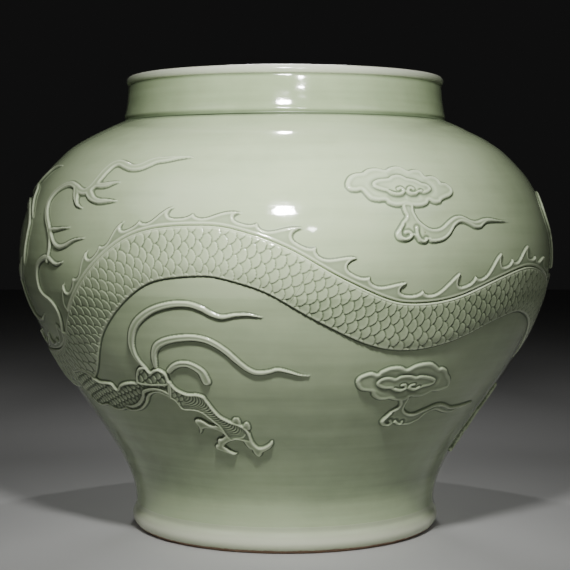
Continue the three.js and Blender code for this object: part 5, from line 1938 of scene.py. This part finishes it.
LOW_CLOUD = CloudMotif(
    anchor=(28, -113),
    cap=(
        (15.6, -110.1), (15.8, -106.5), (16.4, -103.9), (17.5, -101.7), (18.8, -100.6),
        (20.3, -102.5), (20.8, -100), (21.9, -97.6), (23.2, -95.8), (24.9, -95.6), (26, -96.8),
        (27.1, -99), (28, -97.4), (29.1, -95.1), (30.3, -93.9), (31.8, -93.3), (33.2, -93.9),
        (34.6, -96.7), (36, -100.3), (36.7, -99.8), (37.8, -101.2), (38.8, -103.8), (39.8, -108.5),
        (40.9, -112.2), (41.7, -116.4), (41.9, -120.9), (41.6, -124.2), (40.1, -126.2),
        (38.7, -127.4), (36.7, -126.7), (35.7, -128.9), (34.4, -131.1), (33, -131.5),
        (30.8, -130.4), (29.9, -132.7), (28.6, -134), (26.9, -133.8), (25.1, -131.6),
        (23.8, -132.2), (22.2, -131.4), (20.9, -128.4), (20.2, -125.4), (19.8, -122.1),
        (18.5, -121.1), (17.2, -119.7), (16.2, -116.2),
    ),
    heart=(
        (20.5, -112.7), (20.7, -110), (21.3, -107.5), (22.4, -106.2), (23.7, -106.5), (24.9, -108),
        (25.9, -105.9), (27.1, -105.1), (28.7, -105.5), (30.2, -107.5), (31.1, -106.5),
        (32.9, -107.3), (34.8, -109.3), (36.1, -111.9), (36.4, -114.5), (36.1, -117.4),
        (34.8, -119.5), (33.2, -120.4), (32.2, -122.3), (31.2, -123.5), (30, -122.9),
        (28.8, -120.8), (28, -123), (27.1, -123.6), (25.8, -122.5), (24.4, -119.5), (23, -119.3),
        (21.7, -117.5), (20.8, -115.2),
    ),
    volutes=(
        (
            (25.6, -119.6), (26.9, -121), (28, -119.6), (28.2, -117.4), (27.8, -115.6),
            (27.1, -115.8),
        ),
        ((32, -119.2), (31, -120.7), (29.9, -120), (29.3, -118.1), (29.6, -116.5), (30.4, -116)),
    ),
    stem=(
        (27.7, -129.5), (28.6, -137.5), (28.5, -141.6), (27.6, -144.2), (26.7, -146.7),
        (26.1, -149.6), (25.4, -152.8), (24.9, -156.3), (25, -159.5), (25.9, -162.7),
        (27.2, -163.9), (28.3, -163.2), (29, -160.5), (30.1, -162.8), (31.9, -164.2),
        (33.3, -164.6), (34.5, -163.9), (35.6, -162.2), (36.8, -160.1), (37.7, -156.8),
        (38.3, -154.1), (39.4, -151.8), (40.5, -150.2), (41.6, -149.9), (43, -151.5),
        (45.2, -154.3), (47.2, -155.8), (49, -156.1), (50.6, -154.8), (52.3, -153.6),
        (54.1, -152.4), (55.9, -151.2), (57.9, -150.1), (59, -148.6), (57.2, -147.8),
        (55.1, -148.3), (52.6, -148.8), (50.2, -149.2), (47.8, -148.7), (46.1, -146.5),
        (44.4, -144.2), (42.7, -142.7), (41.1, -142.5), (39.6, -143.9), (38.1, -146.2),
        (36.7, -148), (35.3, -150.2), (34.2, -151.1), (32.8, -150.4), (31.5, -147.9),
        (30.7, -144.7), (30.6, -139.9), (30.7, -129.5),
    ),
    curls=(
        (
            (27, -148.6), (26.2, -153), (25.7, -156.9), (26.3, -160.5), (27.4, -161.4),
            (28.1, -159.1), (27.6, -156.6),
        ),
        ((29.2, -158), (30.4, -161.4), (31.4, -161.6), (31.5, -159.4)),
    ),
)


@dataclass
class Cloud:
    """One cloud laid on the wall: a puffed cap round a raised heart, over its waved stem."""

    shop: Workshop
    motif: CloudMotif
    node: str
    goal: Place
    flip: bool = False
    height: float = 2.0

    def placed(self, points: Points, half: float = 0.0) -> List[Spot]:
        """Motif points carried to this cloud's place, all with one half width."""
        given = [(*point[:2], half) for point in points]
        return self.shop.wall.carried(given, self.motif.anchor, self.goal, self.flip)

    def build(self) -> None:
        """Lays the cloud as one piece."""
        cap, stem = plate(self.placed(self.motif.cap)), plate(self.placed(self.motif.stem), 3)
        patch = Patch.round(self.shop.wall, [cap, stem], self.shop.step * FINE, melt=0.5)
        in_cap, in_stem = patch.inside(cap), patch.inside(stem)
        heart = patch.inside(plate(self.placed(self.motif.heart)))
        under = 1.0 - smooth(-0.6, 0.8, in_cap)
        clay = shoulder(patch.edge, self.height, 2.2)
        sunk = 0.5 * smooth(2.0, 5.0, in_cap) + 0.55 * smooth(-5.5, -0.5, heart)
        clay = clay - sunk * smooth(1.0, 3.0, in_cap) - 0.6 * smooth(1.7, 3.4, in_stem) * under
        clay = clay + shoulder(heart, 1.3, 1.9) - 0.55 * smooth(1.8, 4.0, heart)
        volutes = patch.inside(*(roll(self.placed(line, 1.25)) for line in self.motif.volutes))
        beside = smooth(-2.2, -0.8, volutes) * (1.0 - smooth(-0.8, 0.2, volutes))
        clay = clay + shoulder(volutes, 0.7, 1.1) - 0.45 * beside * smooth(1.5, 2.6, heart)
        curls = patch.inside(*(roll(self.placed(line, 1.3)) for line in self.motif.curls))
        beside = smooth(-3.5, -1.0, curls) * (1.0 - smooth(-1.0, 0.2, curls))
        curled = shoulder(curls, 0.7, 1.1) - 0.5 * beside * smooth(1.4, 2.4, in_stem)
        patch.proud = clay + curled * under + skirt(patch.edge)
        piece = patch.piece(f"{self.node}_relief", patch.pooled(2.4))
        self.shop.dress(piece, Slot.CLOUD, self.node)


# ---- stage


@dataclass(frozen=True)
class Softbox:
    """Soft light that fans out from an oval, with sizes in metres, watts and degrees."""

    name: str
    place: Spot
    aim: Spot
    size: Place
    power: float
    spread: float

    def hang(self) -> None:
        """Hangs the light and turns it to what it faces."""
        data = bpy.data.lights.new(f"softbox_{self.name}", "AREA")
        data.shape, data.energy, data.spread = "ELLIPSE", self.power, math.radians(self.spread)
        data.size, data.size_y = self.size
        light = bpy.data.objects.new(data.name, data)
        light.location = self.place
        way = Vector(self.aim) - Vector(self.place)
        light.rotation_euler = way.to_track_quat("-Z", "Y").to_euler()
        bpy.context.scene.collection.objects.link(light)


SOFTBOXES = (
    Softbox("key", (-0.007, -0.68, 0.661), (0.0, -0.2, 0.26), (0.1, 0.06), 1.2, 74.0),
    Softbox("neck", (0.18, -1.0, 0.66), (0.01, -0.15, 0.424), (0.05, 0.06), 0.05, 25.0),
    Softbox("top", (0.0, 0.32, 1.15), (0.0, 0.0, 0.42), (0.035, 0.045), 0.3, 60.0),
    Softbox("left", (-1.6, -1.0, 2.1), (0.0, 0.0, 0.4), (2.0, 1.8), 1.1, 50.0),
    Softbox("right", (1.6, -1.0, 2.1), (0.0, 0.0, 0.4), (2.0, 1.8), 1.3, 50.0),
    Softbox("back", (0.0, 2.2, 1.5), (0.0, 0.0, 0.36), (0.5, 0.7), 1.1, 50.0),
)


@dataclass
class Studio:
    """Pale floor, soft lights and the camera at the photograph's place."""

    distance: float = 1.455
    eye_height: float = 0.317
    pitch: float = 3.147
    lens: float = 91.9
    sensor: float = 36.0
    air_light: float = 0.015
    floor_half: float = 4.0
    floor_shades: Tuple[Colour, Colour] = ((0.44, 0.44, 0.43), (0.48, 0.48, 0.47))

    def build(self) -> None:
        """Sets the stage."""
        self.camera()
        self.floor()
        for softbox in SOFTBOXES:
            softbox.hang()
        world = bpy.data.worlds.new("studio_air")
        world.use_nodes = True
        air = world.node_tree.nodes["Background"]
        Nodes(world.node_tree).feed(air, Color=(0.5, 0.5, 0.5, 1.0), Strength=self.air_light)
        bpy.context.scene.world = world

    def camera(self) -> None:
        """Camera as high, as far and as long as the photograph's."""
        data = bpy.data.cameras.new("photo_camera")
        data.lens, data.sensor_width = self.lens, self.sensor
        holder = bpy.data.objects.new("photo_camera", data)
        holder.location = (0.0, -self.distance, self.eye_height)
        holder.rotation_euler = (math.radians(90.0 - self.pitch), 0.0, 0.0)
        bpy.context.scene.collection.objects.link(holder)
        bpy.context.scene.camera = holder

    def floor(self) -> None:
        """Pale floor under the jar."""
        half = self.floor_half
        corners = [(-half, -half, 0), (half, -half, 0), (half, half, 0), (-half, half, 0)]
        mesh = bpy.data.meshes.new("studio_floor")
        mesh.from_pydata(corners, [], [(0, 1, 2, 3)])
        floor = bpy.data.objects.new("studio_floor", mesh)
        bpy.context.scene.collection.objects.link(floor)
        material = bpy.data.materials.new("pale_floor")
        material.use_nodes = True
        nodes = Nodes(material.node_tree)
        colour = nodes.mix(nodes.noise(nodes.place(), 6.0), *self.floor_shades)
        shader = material.node_tree.nodes["Principled BSDF"]
        nodes.feed(shader, Base_Color=colour, Roughness=0.75)
        mesh.materials.append(material)


FINISHES = (
    Celadon(
        Slot.WALL, (0.6, 0.69, 0.465), (0.49, 0.59, 0.36), (0.185, 0.235, 0.14), clouding=0.75,
    ),
    Celadon(Slot.NECK, (0.57, 0.67, 0.425), (0.47, 0.58, 0.34), (0.13, 0.18, 0.09), clouding=0.7),
    Celadon(Slot.LIP, (0.79, 0.82, 0.66), (0.61, 0.68, 0.49), (0.3, 0.35, 0.23), gloss=0.1),
    Celadon(
        Slot.FOOT, (0.76, 0.8, 0.61), (0.58, 0.65, 0.45), (0.28, 0.33, 0.21), specks=0.06,
        gloss=0.16, bare_below=0.0035,
    ),
    Celadon(Slot.DRAGON, (0.62, 0.7, 0.48), (0.495, 0.59, 0.365), (0.13, 0.17, 0.095), rings=0.3),
    Celadon(Slot.CREST, (0.63, 0.71, 0.49), (0.5, 0.6, 0.375), (0.15, 0.19, 0.11), rings=0.2),
    Celadon(Slot.CLOUD, (0.61, 0.7, 0.475), (0.49, 0.59, 0.365), (0.16, 0.21, 0.12), rings=0.2),
)


def main() -> None:
    """Builds and dresses the jar, piece by piece."""
    logging.basicConfig(level=logging.INFO, format="%(message)s")
    effects = GlazeEffects()
    wall = Wall(WallLine())
    shop = Workshop(wall, {finish.slot: finish.material(effects) for finish in FINISHES})
    Studio().build()
    ThrownPieces(shop).build()
    fine = spline(SPINE, 12)
    spine = Course(wall, *fine.T).relaxed(7.0)
    moves: Dict[str, Move] = {
        "near_foreleg": {"goal": ROOT},
        "far_foreleg": {"goal": (-89, -124), "flip": True},
        "near_hindleg": {"goal": (104, -122), "turn": -13.0},
        "far_hindleg": {"goal": (97, -124), "flip": True, "turn": 24.0, "size": 0.6},
    }
    legs = [Leg(shop, spine, name, move) for name, move in moves.items()]
    DragonBody(shop, spine, [leg.upper_plate() for leg in legs]).build()
    Crest(shop, spine).build()
    for leg in legs:
        leg.build()
    Head(shop).build()
    Flames(shop, moves).build()
    clouds = (
        (HIGH_CLOUD, "cloud_high", HIGH_CLOUD.anchor, False),
        (LOW_CLOUD, "cloud_low", LOW_CLOUD.anchor, False),
        (HIGH_CLOUD, "cloud_haunch", (112.0, 2.0), True),
        (LOW_CLOUD, "cloud_tail", (172.0, -70.0), False),
        (HIGH_CLOUD, "cloud_pearl", (-163.0, 104.0), True),
        (LOW_CLOUD, "cloud_beard", (-158.0, -40.0), False),
    )
    for motif, node, goal, flip in clouds:
        Cloud(shop, motif, node, goal, flip).build()


if __name__ == "__main__":
    main()
